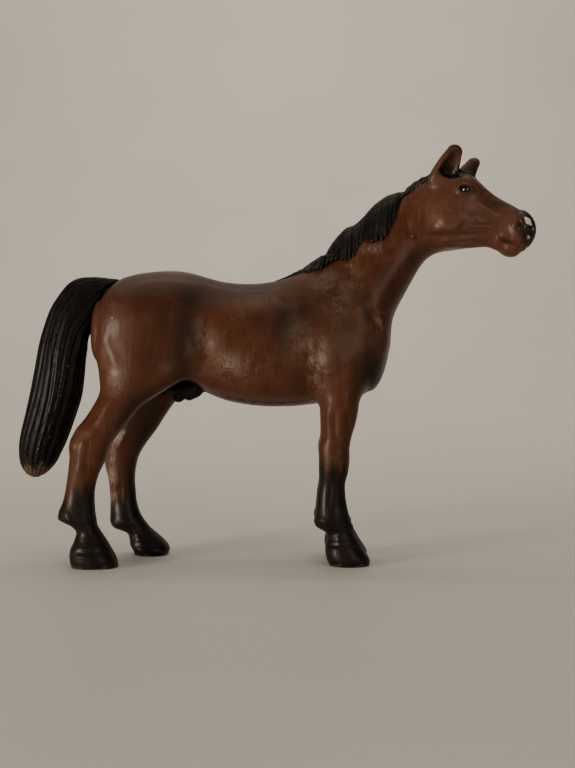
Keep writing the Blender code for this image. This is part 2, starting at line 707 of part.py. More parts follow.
def build_tail(paint):
    """The tail, fluted as hair, with the plug that the trunk's shells trap."""
    tail = skin("tail", [tail_ring(row) for row in tail_shares])
    combine(tail, [trunk_masses("rump", CLEARANCE)], "DIFFERENCE")
    combine(tail, [tail_plug()], "UNION")
    return painted(tail, paint)


def saddle(centre, up, half_width, half_height, wider_below, rise, left_reach, right_reach):
    """A ring that lies over the top of an oval: its outer face `rise` above it, its inner face inside."""
    left, right = (math.acos(1 - 2 * reach) for reach in (left_reach, right_reach))
    angles = [math.pi / 2 - left + (left + right) * k / MANE_SIDES for k in range(MANE_SIDES + 1)]
    ring = []
    for turn, grow in ((angles, rise), (reversed(angles), -MANE_SEAT)):
        for angle in turn:
            across = (half_width * (1 - wider_below * math.sin(angle)) + grow) * math.cos(angle)
            ring.append(centre + SIDEWAYS * across + up * ((half_height + grow) * math.sin(angle)))
    return ring


def mane_rings():
    """Rings from the withers up the crest to the forelock, with the hanging edge drawn out into locks."""
    rings = []
    for along, rise, left, right in withers_mane_shares:
        centre, half_width, half_height, wider_below = barrel_place(reading(barrel_shares, along))
        outer = CLEARANCE + rise * MANE_THICKNESS
        rings.append(saddle(centre, UP, half_width, half_height, wider_below, outer, left, right))
    rows = [neck + mane for neck, mane in zip(neck_base_shares[-1:] + neck_shares, neck_mane_shares)]
    for count, row in enumerate(denser(rows, MANE_STEPS)):
        rise, left, right = row[6:]
        lock = 1 + mane_lock_share * math.cos(math.tau * count / MANE_LOCK_STEPS)
        rings.append(saddle(*neck_place(row), CLEARANCE + rise * MANE_THICKNESS * lock, left, right * lock))
    for along, rise, left, right in head_mane_shares:
        centre, half_width, half_height, wider_below = head_place(reading(head_shares, along))
        outer = CLEARANCE + rise * MANE_THICKNESS
        ring = saddle(centre, UP, half_width, half_height, wider_below, outer, left, right)
        rings.append([head_frame() @ point for point in ring])
    return rings


def build_mane(paint):
    """The mane, a band that lies over the crest and hangs on the right side, and runs on between the ears."""
    mane = skin("mane", mane_rings())
    combine(mane, [trunk_masses("crest", CLEARANCE), head_skin(CLEARANCE), *ears(CLEARANCE)], "DIFFERENCE")
    return painted(mane, paint)


def main():
    for old in list(bpy.data.objects):
        bpy.data.objects.remove(old)
    coat = plastic("brown_painted_plastic", BROWN, 0.38)
    legs = plastic("dark_brown_painted_plastic", DARK_BROWN, 0.38)
    hair = plastic("black_painted_plastic", BLACK, 0.42)
    pieces = [build_shell("right_body_shell", -1, coat), build_shell("left_body_shell", 1, coat)]
    pieces += [build_leg(name, legs) for name in limbs()]
    pieces += [build_head_and_neck(coat), build_tail(hair), build_mane(hair)]
    for piece in pieces:
        piece.data.shade_smooth()
        piece.data.set_sharp_from_angle(angle=SHARP_ANGLE)


main()
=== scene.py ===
"""The look of the toy horse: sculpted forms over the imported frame, with paint, floor, light and camera.

Each form is a field of distances in millimetres on a grid of points, below zero inside. The forms are lofts
through rows of ovals, blended together, with strokes pressed in or raised. A stroke is drawn in the photo's
pixels, as seen by the scene's own camera, and works on both sides of the horse.
"""

import functools
import math

import bmesh
import bpy
import numpy as np
from mathutils import Matrix, Vector


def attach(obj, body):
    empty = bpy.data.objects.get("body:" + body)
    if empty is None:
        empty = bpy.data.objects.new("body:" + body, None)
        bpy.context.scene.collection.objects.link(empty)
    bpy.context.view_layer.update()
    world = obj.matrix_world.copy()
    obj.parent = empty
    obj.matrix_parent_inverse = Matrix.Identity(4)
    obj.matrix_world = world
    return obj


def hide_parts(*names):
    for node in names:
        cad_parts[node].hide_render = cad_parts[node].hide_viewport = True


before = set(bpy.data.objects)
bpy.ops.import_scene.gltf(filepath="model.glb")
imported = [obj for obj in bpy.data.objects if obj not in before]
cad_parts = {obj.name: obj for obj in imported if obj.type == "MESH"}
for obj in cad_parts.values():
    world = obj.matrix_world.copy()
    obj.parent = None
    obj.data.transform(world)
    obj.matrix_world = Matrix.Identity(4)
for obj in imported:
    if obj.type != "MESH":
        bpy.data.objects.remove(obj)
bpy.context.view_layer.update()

MM = 0.001

# The camera: level, looking along +Y, with these places in millimetres and its lens in pixels
CAMERA_X = 3.42
CAMERA_Y = -300.0
CAMERA_Z = 48.5
LENS_PX = 1088.0
IMAGE_WIDTH = 575
IMAGE_HEIGHT = 768

MM_PER_PX = 0.27  # at the mane

# Places that the solids set too
LEG_SEAM = 41.5  # height where the legs meet the trunk
NECK_SEAM = ((15.7, 84.5), (32.1, 65.0))  # two places, x and z, on the plane where the neck meets the trunk
HEAD_ROOT = (41.15, 86.02)  # x and z of the head's own frame
HEAD_TURN = math.radians(14)  # the head looks this far to the horse's right
FAR_FRONT_AHEAD = 0.35  # how far the left front leg stands ahead of the right one

# Steps between the points of the grids
BODY_STEP, HEAD_STEP, LEG_STEP, HAIR_STEP = 0.42, 0.30, 0.27, 0.25
FAR_AWAY = 50.0  # a field's value before any form is put in

# How wide the corners are filled where a limb, the neck or the head joins the rest
LIMB_SOFT, NECK_SOFT, HEAD_SOFT = 4.0, 5.0, 4.5

# How far the forms bulge out past their first and last rows
REAR_END, CHEST_END, HEAD_END = 2.2, 5.3, 3.0
HEAD_SQUARENESS = 2.15


# Tables of rows, in millimetres

# Trunk: x, top, bottom, half width, how much wider below
TRUNK = [
    (-48.0, 71.6, 54.6, 8.8, 0.00),
    (-47.5, 71.8, 54.3, 8.9, 0.00),
    (-45.5, 74.9, 53.6, 11.0, 0.02),
    (-42.7, 77.1, 53.6, 12.3, 0.04),
    (-38.9, 78.5, 52.8, 13.3, 0.06),
    (-33.9, 79.3, 52.5, 13.7, 0.08),
    (-29.0, 79.6, 51.7, 13.6, 0.10),
    (-24.0, 79.2, 49.5, 13.1, 0.13),
    (-19.1, 78.0, 46.3, 13.1, 0.15),
    (-14.1, 76.7, 44.3, 13.7, 0.16),
    (-8.3, 76.1, 43.0, 14.2, 0.16),
    (-2.5, 76.4, 42.4, 14.3, 0.17),
    (2.5, 77.4, 42.4, 14.1, 0.19),
    (6.9, 79.2, 42.6, 13.6, 0.22),
    (11.3, 80.6, 43.1, 12.9, 0.27),
    (15.1, 79.3, 43.8, 12.2, 0.30),
    (18.9, 77.1, 44.3, 11.3, 0.28),
    (22.3, 74.9, 44.8, 10.2, 0.22),
    (25.0, 72.9, 46.0, 9.2, 0.17),
    (25.6, 72.7, 46.4, 9.1, 0.17),
]
# Limbs: height, centre and half length front to back, centre and half width sideways, squareness
NEAR_HIND = [
    (0.0, -47.7, 6.1, 11.0, 5.3, 2.4),
    (1.9, -48.1, 6.2, 11.0, 5.5, 2.4),
    (4.6, -48.7, 5.5, 11.0, 5.0, 2.3),
    (7.2, -48.9, 4.2, 11.0, 4.0, 2.2),
    (9.7, -49.6, 3.3, 11.0, 3.4, 2.1),
    (10.9, -50.6, 3.6, 11.0, 3.5, 2.1),
    (12.5, -52.3, 5.0, 11.0, 3.9, 2.1),
    (14.1, -52.5, 4.9, 11.0, 3.8, 2.1),
    (17.3, -52.0, 4.2, 11.1, 3.3, 2.1),
    (20.4, -51.6, 3.9, 11.2, 3.1, 2.1),
    (23.6, -51.0, 4.0, 11.2, 3.3, 2.1),
    (28.4, -49.7, 4.8, 10.9, 3.8, 2.1),
    (32.9, -48.8, 5.6, 10.6, 4.2, 2.1),
    (36.3, -46.9, 6.1, 10.2, 4.4, 2.0),
    (39.5, -44.4, 6.1, 9.7, 4.6, 2.0),
    (42.7, -42.0, 6.5, 9.3, 4.9, 2.0),
    (45.9, -38.9, 8.1, 8.6, 5.4, 2.0),
    (50.8, -35.4, 11.8, 7.7, 5.9, 2.0),
    (56.4, -35.9, 12.0, 6.9, 6.2, 2.0),
    (61.0, -36.4, 10.9, 5.9, 6.0, 2.0),
    (65.0, -36.2, 9.0, 5.0, 5.4, 2.0),
    (69.0, -36.2, 8.0, 4.4, 5.0, 2.0),
    (70.0, -36.2, 8.0, 4.4, 5.0, 2.0),
]
FAR_HIND = [
    (0.0, -35.5, 4.6, 11.0, 5.0, 2.4),
    (1.2, -35.4, 5.2, 11.0, 5.5, 2.4),
    (2.6, -36.0, 5.4, 11.0, 5.3, 2.4),
    (4.4, -36.9, 4.8, 11.0, 4.4, 2.3),
    (6.2, -38.4, 4.3, 11.0, 3.6, 2.2),
    (7.6, -40.9, 5.2, 11.0, 3.6, 2.1),
    (9.0, -42.0, 5.1, 11.0, 3.9, 2.1),
    (11.3, -42.8, 4.4, 11.0, 3.7, 2.1),
    (14.7, -43.4, 3.8, 11.1, 3.3, 2.1),
    (18.2, -43.7, 3.7, 11.2, 3.1, 2.1),
    (21.6, -44.0, 3.8, 11.2, 3.3, 2.1),
    (25.0, -44.2, 4.4, 11.0, 3.6, 2.1),
    (28.5, -43.8, 5.0, 10.8, 3.9, 2.1),
    (31.9, -42.6, 5.9, 10.6, 4.2, 2.1),
    (35.3, -40.7, 6.6, 10.2, 4.4, 2.0),
    (38.8, -39.0, 7.2, 9.7, 4.6, 2.0),
    (42.2, -37.3, 7.8, 9.3, 4.9, 2.0),
    (45.9, -35.5, 9.1, 8.6, 5.4, 2.0),
    (50.8, -34.6, 11.4, 7.7, 5.9, 2.0),
    (56.4, -35.8, 12.0, 6.9, 6.2, 2.0),
    (61.0, -36.4, 11.0, 5.9, 6.0, 2.0),
    (65.0, -36.2, 9.0, 5.0, 5.4, 2.0),
    (69.0, -36.2, 8.0, 4.4, 5.0, 2.0),
    (70.0, -36.2, 8.0, 4.4, 5.0, 2.0),
]
FRONT = [
    (0.0, 20.0, 5.3, 8.0, 4.9, 2.4),
    (1.2, 19.8, 5.7, 8.0, 5.3, 2.4),
    (3.9, 18.8, 5.3, 8.0, 5.0, 2.3),
    (5.6, 18.3, 4.7, 8.0, 4.4, 2.2),
    (7.2, 18.1, 4.0, 8.0, 3.7, 2.1),
    (8.7, 17.4, 3.8, 8.0, 3.5, 2.1),
    (10.3, 16.1, 5.0, 8.0, 3.7, 2.1),
    (12.0, 15.4, 4.9, 8.0, 3.9, 2.1),
    (13.6, 15.4, 4.5, 8.0, 3.8, 2.1),
    (15.2, 15.3, 4.2, 8.0, 3.5, 2.1),
    (18.4, 15.2, 3.8, 8.0, 3.1, 2.1),
    (21.7, 15.4, 3.5, 8.0, 3.0, 2.1),
    (24.9, 15.8, 3.9, 8.0, 3.5, 2.1),
    (28.1, 16.0, 4.1, 8.0, 3.8, 2.1),
    (31.3, 15.9, 4.2, 8.0, 3.7, 2.1),
    (34.5, 16.5, 4.2, 8.0, 3.7, 2.0),
    (37.8, 17.0, 4.7, 7.9, 4.0, 2.0),
    (41.2, 17.3, 5.1, 7.9, 4.4, 2.0),
    (43.9, 17.4, 5.4, 7.7, 4.8, 2.0),
    (46.9, 17.5, 6.1, 7.2, 5.1, 2.0),
    (51.9, 17.8, 7.6, 6.3, 5.6, 2.0),
    (57.9, 18.2, 8.6, 5.2, 5.8, 2.0),
    (62.0, 17.4, 8.4, 4.4, 5.5, 2.0),
    (66.0, 16.5, 7.4, 3.8, 5.0, 2.0),
    (67.0, 16.5, 7.4, 3.8, 5.0, 2.0),
]
# Neck: crest x and z, underside x and z, half width, how much wider below
NECK = [
    (9.8, 75.0, 27.0, 54.0, 9.0, 0.26),
    (12.6, 79.8, 29.6, 59.2, 9.6, 0.30),
    (15.7, 84.2, 31.4, 65.4, 9.3, 0.33),
    (19.7, 89.3, 33.6, 69.5, 8.5, 0.36),
    (23.6, 92.2, 35.4, 72.7, 7.6, 0.36),
    (27.9, 96.0, 37.4, 76.4, 6.9, 0.34),
    (32.7, 99.1, 39.6, 80.2, 6.4, 0.28),
    (37.0, 101.6, 42.2, 83.5, 6.0, 0.20),
    (41.4, 103.4, 45.0, 86.4, 5.2, 0.10),
    (45.5, 103.0, 48.0, 89.3, 4.3, 0.05),
    (49.5, 101.6, 51.0, 91.8, 3.4, 0.00),
    (50.0, 101.5, 51.4, 92.0, 3.35, 0.00),
]
# Head, in its own frame: x, top, bottom, half width, how much wider below
HEAD = [
    (0.4, 18.0, 1.6, 5.05, 0.00),
    (1.0, 18.2, 1.4, 5.10, 0.00),
    (4.3, 19.6, 0.0, 5.95, 0.00),
    (6.9, 20.2, -0.2, 6.27, -0.04),
    (9.6, 20.0, -0.4, 6.40, -0.08),
    (13.1, 19.4, -0.4, 5.89, -0.10),
    (14.9, 17.7, -0.3, 5.25, -0.08),
    (16.8, 15.7, -0.3, 4.61, -0.06),
    (19.5, 13.4, -1.3, 3.97, -0.04),
    (22.4, 11.6, -2.7, 3.84, -0.02),
    (24.9, 10.1, -2.5, 4.10, 0.00),
    (25.8, 9.5, -1.8, 3.90, 0.00),
    (26.2, 9.4, -1.7, 3.90, 0.00),
]
# Tail: outer x and z, inner x and z, half width
TAIL = [
    (-43.2, 77.4, -44.5, 75.8, 1.9),
    (-45.0, 77.6, -46.6, 74.1, 2.6),
    (-49.4, 78.1, -47.2, 71.4, 3.2),
    (-53.8, 77.9, -48.2, 68.2, 3.8),
    (-57.1, 76.3, -49.3, 65.2, 4.2),
    (-59.9, 72.9, -50.3, 63.1, 4.5),
    (-62.1, 69.2, -51.3, 60.9, 4.7),
    (-64.0, 63.9, -51.6, 57.9, 4.9),
    (-65.2, 59.3, -52.0, 55.0, 5.1),
    (-66.3, 53.1, -52.4, 50.6, 5.2),
    (-67.6, 46.3, -53.2, 45.1, 5.2),
    (-69.0, 40.0, -55.0, 39.4, 5.0),
    (-70.3, 34.4, -57.1, 33.6, 4.7),
    (-70.7, 30.2, -58.9, 29.7, 4.3),
    (-70.2, 26.4, -60.7, 26.4, 3.6),
    (-68.7, 23.8, -63.4, 23.7, 2.5),
    (-66.8, 22.6, -65.7, 22.6, 0.8),
]


# Grids and fields


class Grid:
    """Evenly spaced points in a box, in millimetres."""

    def __init__(self, low, high, step):
        self.low = np.array(low, float)
        self.step = step
        counts = [int(math.ceil((b - a) / step)) + 1 for a, b in zip(low, high)]
        self.x, self.y, self.z = (self.low[k] + step * np.arange(counts[k]) for k in range(3))
        self.shape = tuple(counts)

    def part(self, low, high):
        """Index ranges of the points between two corners."""
        ranges = []
        for axis, a, b in zip((self.x, self.y, self.z), low, high):
            ranges.append(slice(int(np.searchsorted(axis, a)), int(np.searchsorted(axis, b))))
        return tuple(ranges)

    def points(self, ranges=(slice(None), slice(None), slice(None))):
        """x, y and z of the points, shaped so that they combine."""
        x, y, z = self.x[ranges[0]], self.y[ranges[1]], self.z[ranges[2]]
        return x[:, None, None], y[None, :, None], z[None, None, :]


def too_thin(ranges, least=4):
    """Whether a box holds too few points for a slope."""
    return min(r.stop - r.start for r in ranges) < least


def most(*values):
    """The largest of several arrays or numbers, point by point."""
    return functools.reduce(np.maximum, values)


def smooth_rows(rows, at):
    """The columns after the first, read at places in the first, through a curve with no corners."""
    rows = np.array(rows, float)
    s, values = rows[:, 0], rows[:, 1:]
    slopes = np.gradient(values, s, axis=0)
    at = np.clip(at, s[0], s[-1])
    k = np.clip(np.searchsorted(s, at, side="right") - 1, 0, len(s) - 2)
    width = (s[k + 1] - s[k])[..., None]
    t = (at - s[k])[..., None] / width
    made = (2 * t**3 - 3 * t**2 + 1) * values[k] + (t**3 - 2 * t**2 + t) * slopes[k] * width
    made = made + (3 * t**2 - 2 * t**3) * values[k + 1] + (t**3 - t**2) * slopes[k + 1] * width
    return [made[..., c] for c in range(values.shape[1])]


def join(a, b, soft):
    """Both forms as one, with the corner between them filled over a width."""
    h = np.maximum(soft - np.abs(a - b), 0) / soft
    return np.minimum(a, b) - h * h * (soft / 4)


def cut(a, b, soft):
    """The first form without the second."""
    return -join(-a, b, soft)


def rounded(u, v, power):
    """1 on the edge of an oval of unit sizes, which is squarer with a higher power."""
    return (np.abs(u) ** power + np.abs(v) ** power) ** (1 / power)


def metric(raw, step):
    """A raw field rescaled so that it grows by 1 in each millimetre."""
    size = np.sqrt(sum(slope**2 for slope in np.gradient(raw, step)))
    return raw / np.maximum(size, 0.04)


def between(low, high, value):
    """0 below low, 1 above high, and a smooth rise between them."""
    t = np.clip((value - low) / (high - low), 0, 1)
    return t * t * (3 - 2 * t)


def upright_loft(x, y, z, rows, start, start_end, stop_end, power=2.0):
    """Ovals that stand across X, with a bulge before start and one past the last row."""
    top, bottom, half, wider = smooth_rows(rows, x)
    high = np.maximum((top - bottom) / 2, 0.3)
    v = (z - (top + bottom) / 2) / high
    u = y / (np.maximum(half, 0.3) * (1 - wider * np.clip(v, -1, 1)))
    beyond = most((start - x) / start_end, (x - rows[-1][0]) / stop_end, 0)
    return np.sqrt(rounded(u, v, power) ** 2 + beyond**2) - 1


def level_loft(x, y, z, rows, side, ahead=0.0):
    """Level ovals above one another."""
    centre, long, aside, wide, power = smooth_rows(rows, z)
    u = (x - centre - ahead) / long
    v = (y - side * aside) / wide
    beyond = np.maximum(z - rows[-1][0], 0) / 2
    power = np.broadcast_to(power, np.broadcast_shapes(u.shape, v.shape))
    return np.sqrt(rounded(u, v, power) ** 2 + beyond**2) - 1


def fan(rows, count=200):
    """Dense rows through a table of slanted ovals, and the direction along them."""
    numbered = [(k, *row) for k, row in enumerate(rows)]
    dense = np.stack(smooth_rows(numbered, np.linspace(0, len(rows) - 1, count)), -1)
    outer, inner = dense[:, 0:2], dense[:, 2:4]
    up = outer - inner
    high = np.maximum(np.hypot(up[:, 0], up[:, 1]), 0.2)
    up = up / high[:, None]
    along = np.stack([up[:, 1], -up[:, 0]], -1)
    middle = (outer + inner) / 2
    if (middle[-1] - middle[0]) @ along[count // 2] < 0:
        along = -along
    return middle, up, along, high / 2, dense[:, 4:]


def fan_places(x, z, rows):
    """For points in the XZ plane: place along the fan from 0 to 1, height in the oval there, the oval's
    half height, how far the point lies past the fan's ends, and the oval's other columns."""
    middle, up, along, high, columns = fan(rows)
    x, z = np.broadcast_arrays(x[:, 0, :], z[:, 0, :])
    chosen = np.zeros(x.shape)
    smallest = np.full(x.shape, np.inf)
    for k in range(len(middle)):
        dx, dz = x - middle[k, 0], z - middle[k, 1]
        ahead = dx * along[k, 0] + dz * along[k, 1]
        if k == 0:
            first = ahead
        else:
            crossed = (before >= 0) & (ahead < 0)
            share = before / np.where(crossed, before - ahead, 1)
            reach = np.abs(dx * up[k, 0] + dz * up[k, 1]) / high[k]
            take = crossed & (reach < smallest)
            chosen = np.where(take, k - 1 + share, chosen)
            smallest = np.where(take, reach, smallest)
        before = ahead
    missed = np.isinf(smallest)
    chosen = np.where(missed & (first < 0), 0, chosen)
    chosen = np.where(missed & (ahead >= 0), len(middle) - 1, chosen)
    beyond = np.where(missed, most(-first, ahead, 0), 0)
    lo = np.clip(np.floor(chosen).astype(int), 0, len(middle) - 2)
    t = chosen - lo

    def read(values):
        return values[lo] * (1 - t) + values[lo + 1] * t

    height = (x - read(middle[:, 0])) * read(up[:, 0]) + (z - read(middle[:, 1])) * read(up[:, 1])
    return chosen / (len(middle) - 1), height, read(high), beyond, [read(column) for column in columns.T]


def slanted_loft(x, y, z, rows):
    """Ovals that stand across a bent line in the XZ plane. Gives the raw field, the place along the line
    from 0 to 1, and the places across and up the oval."""
    place, height, high, beyond, (half, *wider) = fan_places(x, z, rows)
    v = height / high
    wide = np.maximum(half, 0.3) * (1 - (wider[0] if wider else 0) * np.clip(v, -1, 1))
    u = y / wide[:, None, :]
    place, v, beyond = (value[:, None, :] for value in (place, v, beyond / np.minimum(half, high)))
    return np.sqrt(rounded(u, v, 2.0) ** 2 + beyond**2) - 1, place, u, v


def to_head(x, y):
    """World x and y to the head's own frame."""
    c, s = math.cos(HEAD_TURN), math.sin(HEAD_TURN)
    dx = x - HEAD_ROOT[0]
    return c * dx - s * y, s * dx + c * y


def in_head(x, y, z):
    """The same with the height above the head's root."""
    return *to_head(x, y), z - HEAD_ROOT[1]


def from_head(hx, hy):
    """The head's own x and y to the world's."""
    c, s = math.cos(HEAD_TURN), math.sin(HEAD_TURN)
    return HEAD_ROOT[0] + c * hx + s * hy, -s * hx + c * hy


def seen(x, y, z):
    """The pixel of the photo where a point shows."""
    scale = LENS_PX / (y - CAMERA_Y)
    return (IMAGE_WIDTH / 2 + (x - CAMERA_X) * scale, IMAGE_HEIGHT / 2 - (z - CAMERA_Z) * scale)


def body_pixels(x, y, z):
    """The pixel of a point, or of its mirror image on the near side."""
    return seen(x, -np.abs(y), z)


def head_pixels(x, y, z):
    """The same for the head, which is turned."""
    hx, hy = to_head(x, y)
    nx, ny = from_head(hx, -np.abs(hy))
    return seen(nx, ny, z)


def line_distance(px, py, points):
    """Distance in pixels from a line through points, and the nearest place along it, from 0 to 1."""
    points = np.array(points, float)
    best = np.full(np.broadcast_shapes(np.shape(px), np.shape(py)), 1e9)
    place = np.zeros(best.shape)
    lengths = np.hypot(*np.diff(points, axis=0).T)
    total, done = lengths.sum(), 0.0
    for a, b, length in zip(points, points[1:], lengths):
        t = np.clip(((px - a[0]) * (b[0] - a[0]) + (py - a[1]) * (b[1] - a[1])) / length**2, 0, 1)
        d = np.hypot(px - a[0] - t * (b[0] - a[0]), py - a[1] - t * (b[1] - a[1]))
        closer = d < best
        best = np.where(closer, d, best)
        place = np.where(closer, (done + t * length) / total, place)
        done += length
    return best, place


def curve(points, steps=6):
    """More points on a smooth line through the given ones."""
    if len(points) < 3:
        return points
    rows = [(k, *point) for k, point in enumerate(points)]
    return list(zip(*smooth_rows(rows, np.linspace(0, len(points) - 1, steps * (len(points) - 1) + 1))))


NEAR_SURFACE = 2.5  # strokes change only points this close to the surface, in millimetres
STROKE_REACH = 2.6  # and this close to their line, in half widths


def press(field, grid, strokes, pixels, low, high):
    """Raises or presses in the surface along strokes, inside a box."""
    ranges = grid.part(low, high)
    if too_thin(ranges, 3):
        return
    x, y, z = grid.points(ranges)
    near = np.abs(field[ranges]) < NEAR_SURFACE
    if not near.any():
        return
    where = np.nonzero(near)
    fx, fy, fz = x[where[0], 0, 0], y[0, where[1], 0], z[0, 0, where[2]]
    px, py = pixels(fx, fy, fz)
    added = np.zeros(len(fx))
    for height, width, points, fade in strokes:
        points = curve(points)
        xs, ys = [p[0] for p in points], [p[1] for p in points]
        reach = STROKE_REACH * width
        inside = (px > min(xs) - reach) & (px < max(xs) + reach)
        inside &= (py > min(ys) - reach) & (py < max(ys) + reach)
        if not inside.any():
            continue
        d, t = line_distance(px[inside], py[inside], points)
        strength = np.exp(-((d / width) ** 2))
        length = sum(math.dist(a, b) for a, b in zip(points, points[1:]))
        if fade and length > 2.5 * width:
            end = min(0.5, max(fade, 1.2 * width / length))
            strength *= between(0, end, t) * between(0, end, 1 - t)
        added[inside] += height * strength
    block = field[ranges]
    block[where] -= added
    field[ranges] = block


# Strokes, in the photo's pixels

# Each stroke: height in millimetres (below zero presses in), half width, points, and the share of its
# length over which each end fades
BODY_STROKES = [
    # shoulder blade, its front edge, and the hollow in front of it
    (0.30, 11, [(341, 276), (352, 300), (364, 326), (372, 346)], 0.3),
    (-0.20, 8, [(356, 282), (366, 304), (376, 330)], 0.3),
    (-0.16, 11, [(318, 292), (318, 320), (314, 346)], 0.3),
    # rear edge of the upper arm, and the groove behind the elbow
    (0.56, 5.5, [(319, 340), (322, 354), (326, 370), (329, 386)], 0.3),
    (-0.56, 5.0, [(308.5, 342), (310.5, 358), (315, 374), (319, 392)], 0.3),
    (0.14, 2.0, [(312, 348), (313, 358), (314, 368)], 0.3),
    # point of the shoulder and the crease of the chest
    (0.20, 9, [(371, 348), (369, 362)], 0.2),
    (-0.24, 3.4, [(366, 302), (375, 320), (381, 338), (381, 350), (375, 360)], 0.3),
    (0.26, 2.8, [(371, 298), (380, 316), (385.5, 334), (385.5, 348), (380, 357)], 0.3),
    (-0.22, 6, [(357, 352), (359, 372), (357, 392)], 0.3),
    # upper arm above the elbow
    (0.22, 10, [(340, 352), (343, 372), (345, 392)], 0.3),
    # flank hollow, fold of the stifle, and the edge of the thigh
    (-0.62, 9, [(207, 312), (205, 334), (201, 356)], 0.3),
    (0.24, 9, [(226, 320), (226, 344), (224, 368)], 0.3),
    (0.36, 7, [(194, 330), (194, 348), (188, 366)], 0.3),
    (-0.50, 4, [(207, 352), (203, 366), (195, 376)], 0.3),
    (-0.22, 14, [(212, 292), (222, 300)], 0.1),
    # rump: hip bone and the long muscle down the back of the thigh
    (0.22, 12, [(176, 288), (184, 296)], 0.1),
    (0.26, 6.0, [(100, 328), (106, 344), (113, 360), (121, 374)], 0.35),
    # the belly's edge
    (-0.16, 3.6, [(210, 389), (240, 397), (280, 401), (318, 399)], 0.2),
    (0.14, 2.4, [(210, 395), (240, 402), (280, 405), (312, 403)], 0.2),
    # back: a shallow valley beside the spine
    (-0.14, 8, [(190, 292), (230, 297), (280, 293)], 0.2),
]
NECK_STROKES = [
    (-0.14, 7, [(372, 292), (383, 268), (396, 248)], 0.3),
    (0.07, 7, [(382, 296), (393, 272), (405, 254)], 0.3),
    (0.20, 10, [(352, 272), (366, 258), (384, 240)], 0.3),
    (-0.20, 4, [(405, 210), (407, 224), (411, 238)], 0.3),
    (-0.07, 2.2, [(417, 203), (418, 214), (418, 226)], 0.3),
    (0.05, 2.4, [(421, 206), (422, 216), (422, 226)], 0.3),
    (0.44, 2.8, [(411, 238), (417, 234)], 0.1),
    (0.22, 4.5, [(425, 243), (421, 249)], 0.1),
    # brown strands that come out below the black of the mane
    (0.34, 1.4, [(340, 259), (339, 266)], 0.4),
    (0.34, 1.4, [(346, 259), (346, 267)], 0.4),
    (0.42, 1.5, [(353, 257), (351, 267)], 0.4),
    (0.46, 1.5, [(359, 245), (357, 262)], 0.4),
    (0.42, 1.5, [(365, 241), (364, 254)], 0.4),
    (0.40, 1.4, [(371, 241), (370, 252)], 0.4),
    (0.42, 1.5, [(377, 242), (376, 255)], 0.4),
    (0.44, 1.5, [(383, 239), (381, 253)], 0.4),
    (0.42, 1.4, [(388, 232), (386, 247)], 0.4),
    (0.34, 1.3, [(392, 225), (391, 240)], 0.4),
]
HEAD_STROKES = [
    # cheek: its round edge, and the groove in front of it
    (0.22, 12, [(441, 214), (449, 221)], 0.1),
    (0.42, 10, [(449, 220), (458, 223)], 0.0),
    (0.36, 3.4, [(434, 228.5), (446, 228), (459, 227)], 0.2),
    (0.20, 5.0, [(444, 224), (452, 226)], 0.2),
    (-0.26, 2.4, [(466, 219), (463.5, 225), (459, 231), (456, 236)], 0.25),
    (0.40, 2.6, [(463, 226), (478, 226.5), (494, 227)], 0.25),
    (-0.34, 2.6, [(420, 234), (436, 235), (456, 235), (490, 234)], 0.2),
    (0.30, 2.8, [(440, 241), (464, 239), (480, 238), (490, 239)], 0.2),
    (-0.16, 1.6, [(446, 245), (470, 244.5), (488, 243)], 0.2),
    # ridge of the face below the eye, and the hollow under it
    (0.34, 3.6, [(472, 199), (482, 205), (491, 211), (500, 217)], 0.25),
    (-0.26, 4.4, [(466, 213), (480, 218), (496, 223)], 0.25),
    (0.22, 1.4, [(460, 208.5), (468, 211.5), (475, 215)], 0.2),
    (0.16, 1.3, [(448, 209), (456, 210)], 0.2),
    (-0.18, 4, [(484, 198), (496, 205), (508, 212)], 0.25),
    # brow and temple
    (0.16, 3.4, [(455, 181.5), (463, 179), (474, 181)], 0.3),
    # lips, chin and nostril
    (0.36, 1.9, [(501, 236), (505.5, 235.5), (510, 238)], 0.2),
    (0.32, 1.8, [(497.5, 236), (498.5, 241), (502, 245.5)], 0.25),
    (0.24, 2.4, [(503, 249), (510, 252)], 0.2),
    (-0.18, 2.0, [(493, 234), (493.5, 242)], 0.2),
    (0.24, 2.4, [(514, 221), (512.5, 229)], 0.2),
    (-0.62, 1.25, [(521.5, 220.5), (518.6, 223.5), (517.4, 227.5), (518.2, 231), (520.5, 233)], 0.2),
    (-0.40, 2.6, [(522.5, 226), (523, 230)], 0.1),
    (0.22, 1.4, [(524, 219.5), (527, 223), (527.5, 228)], 0.2),
]
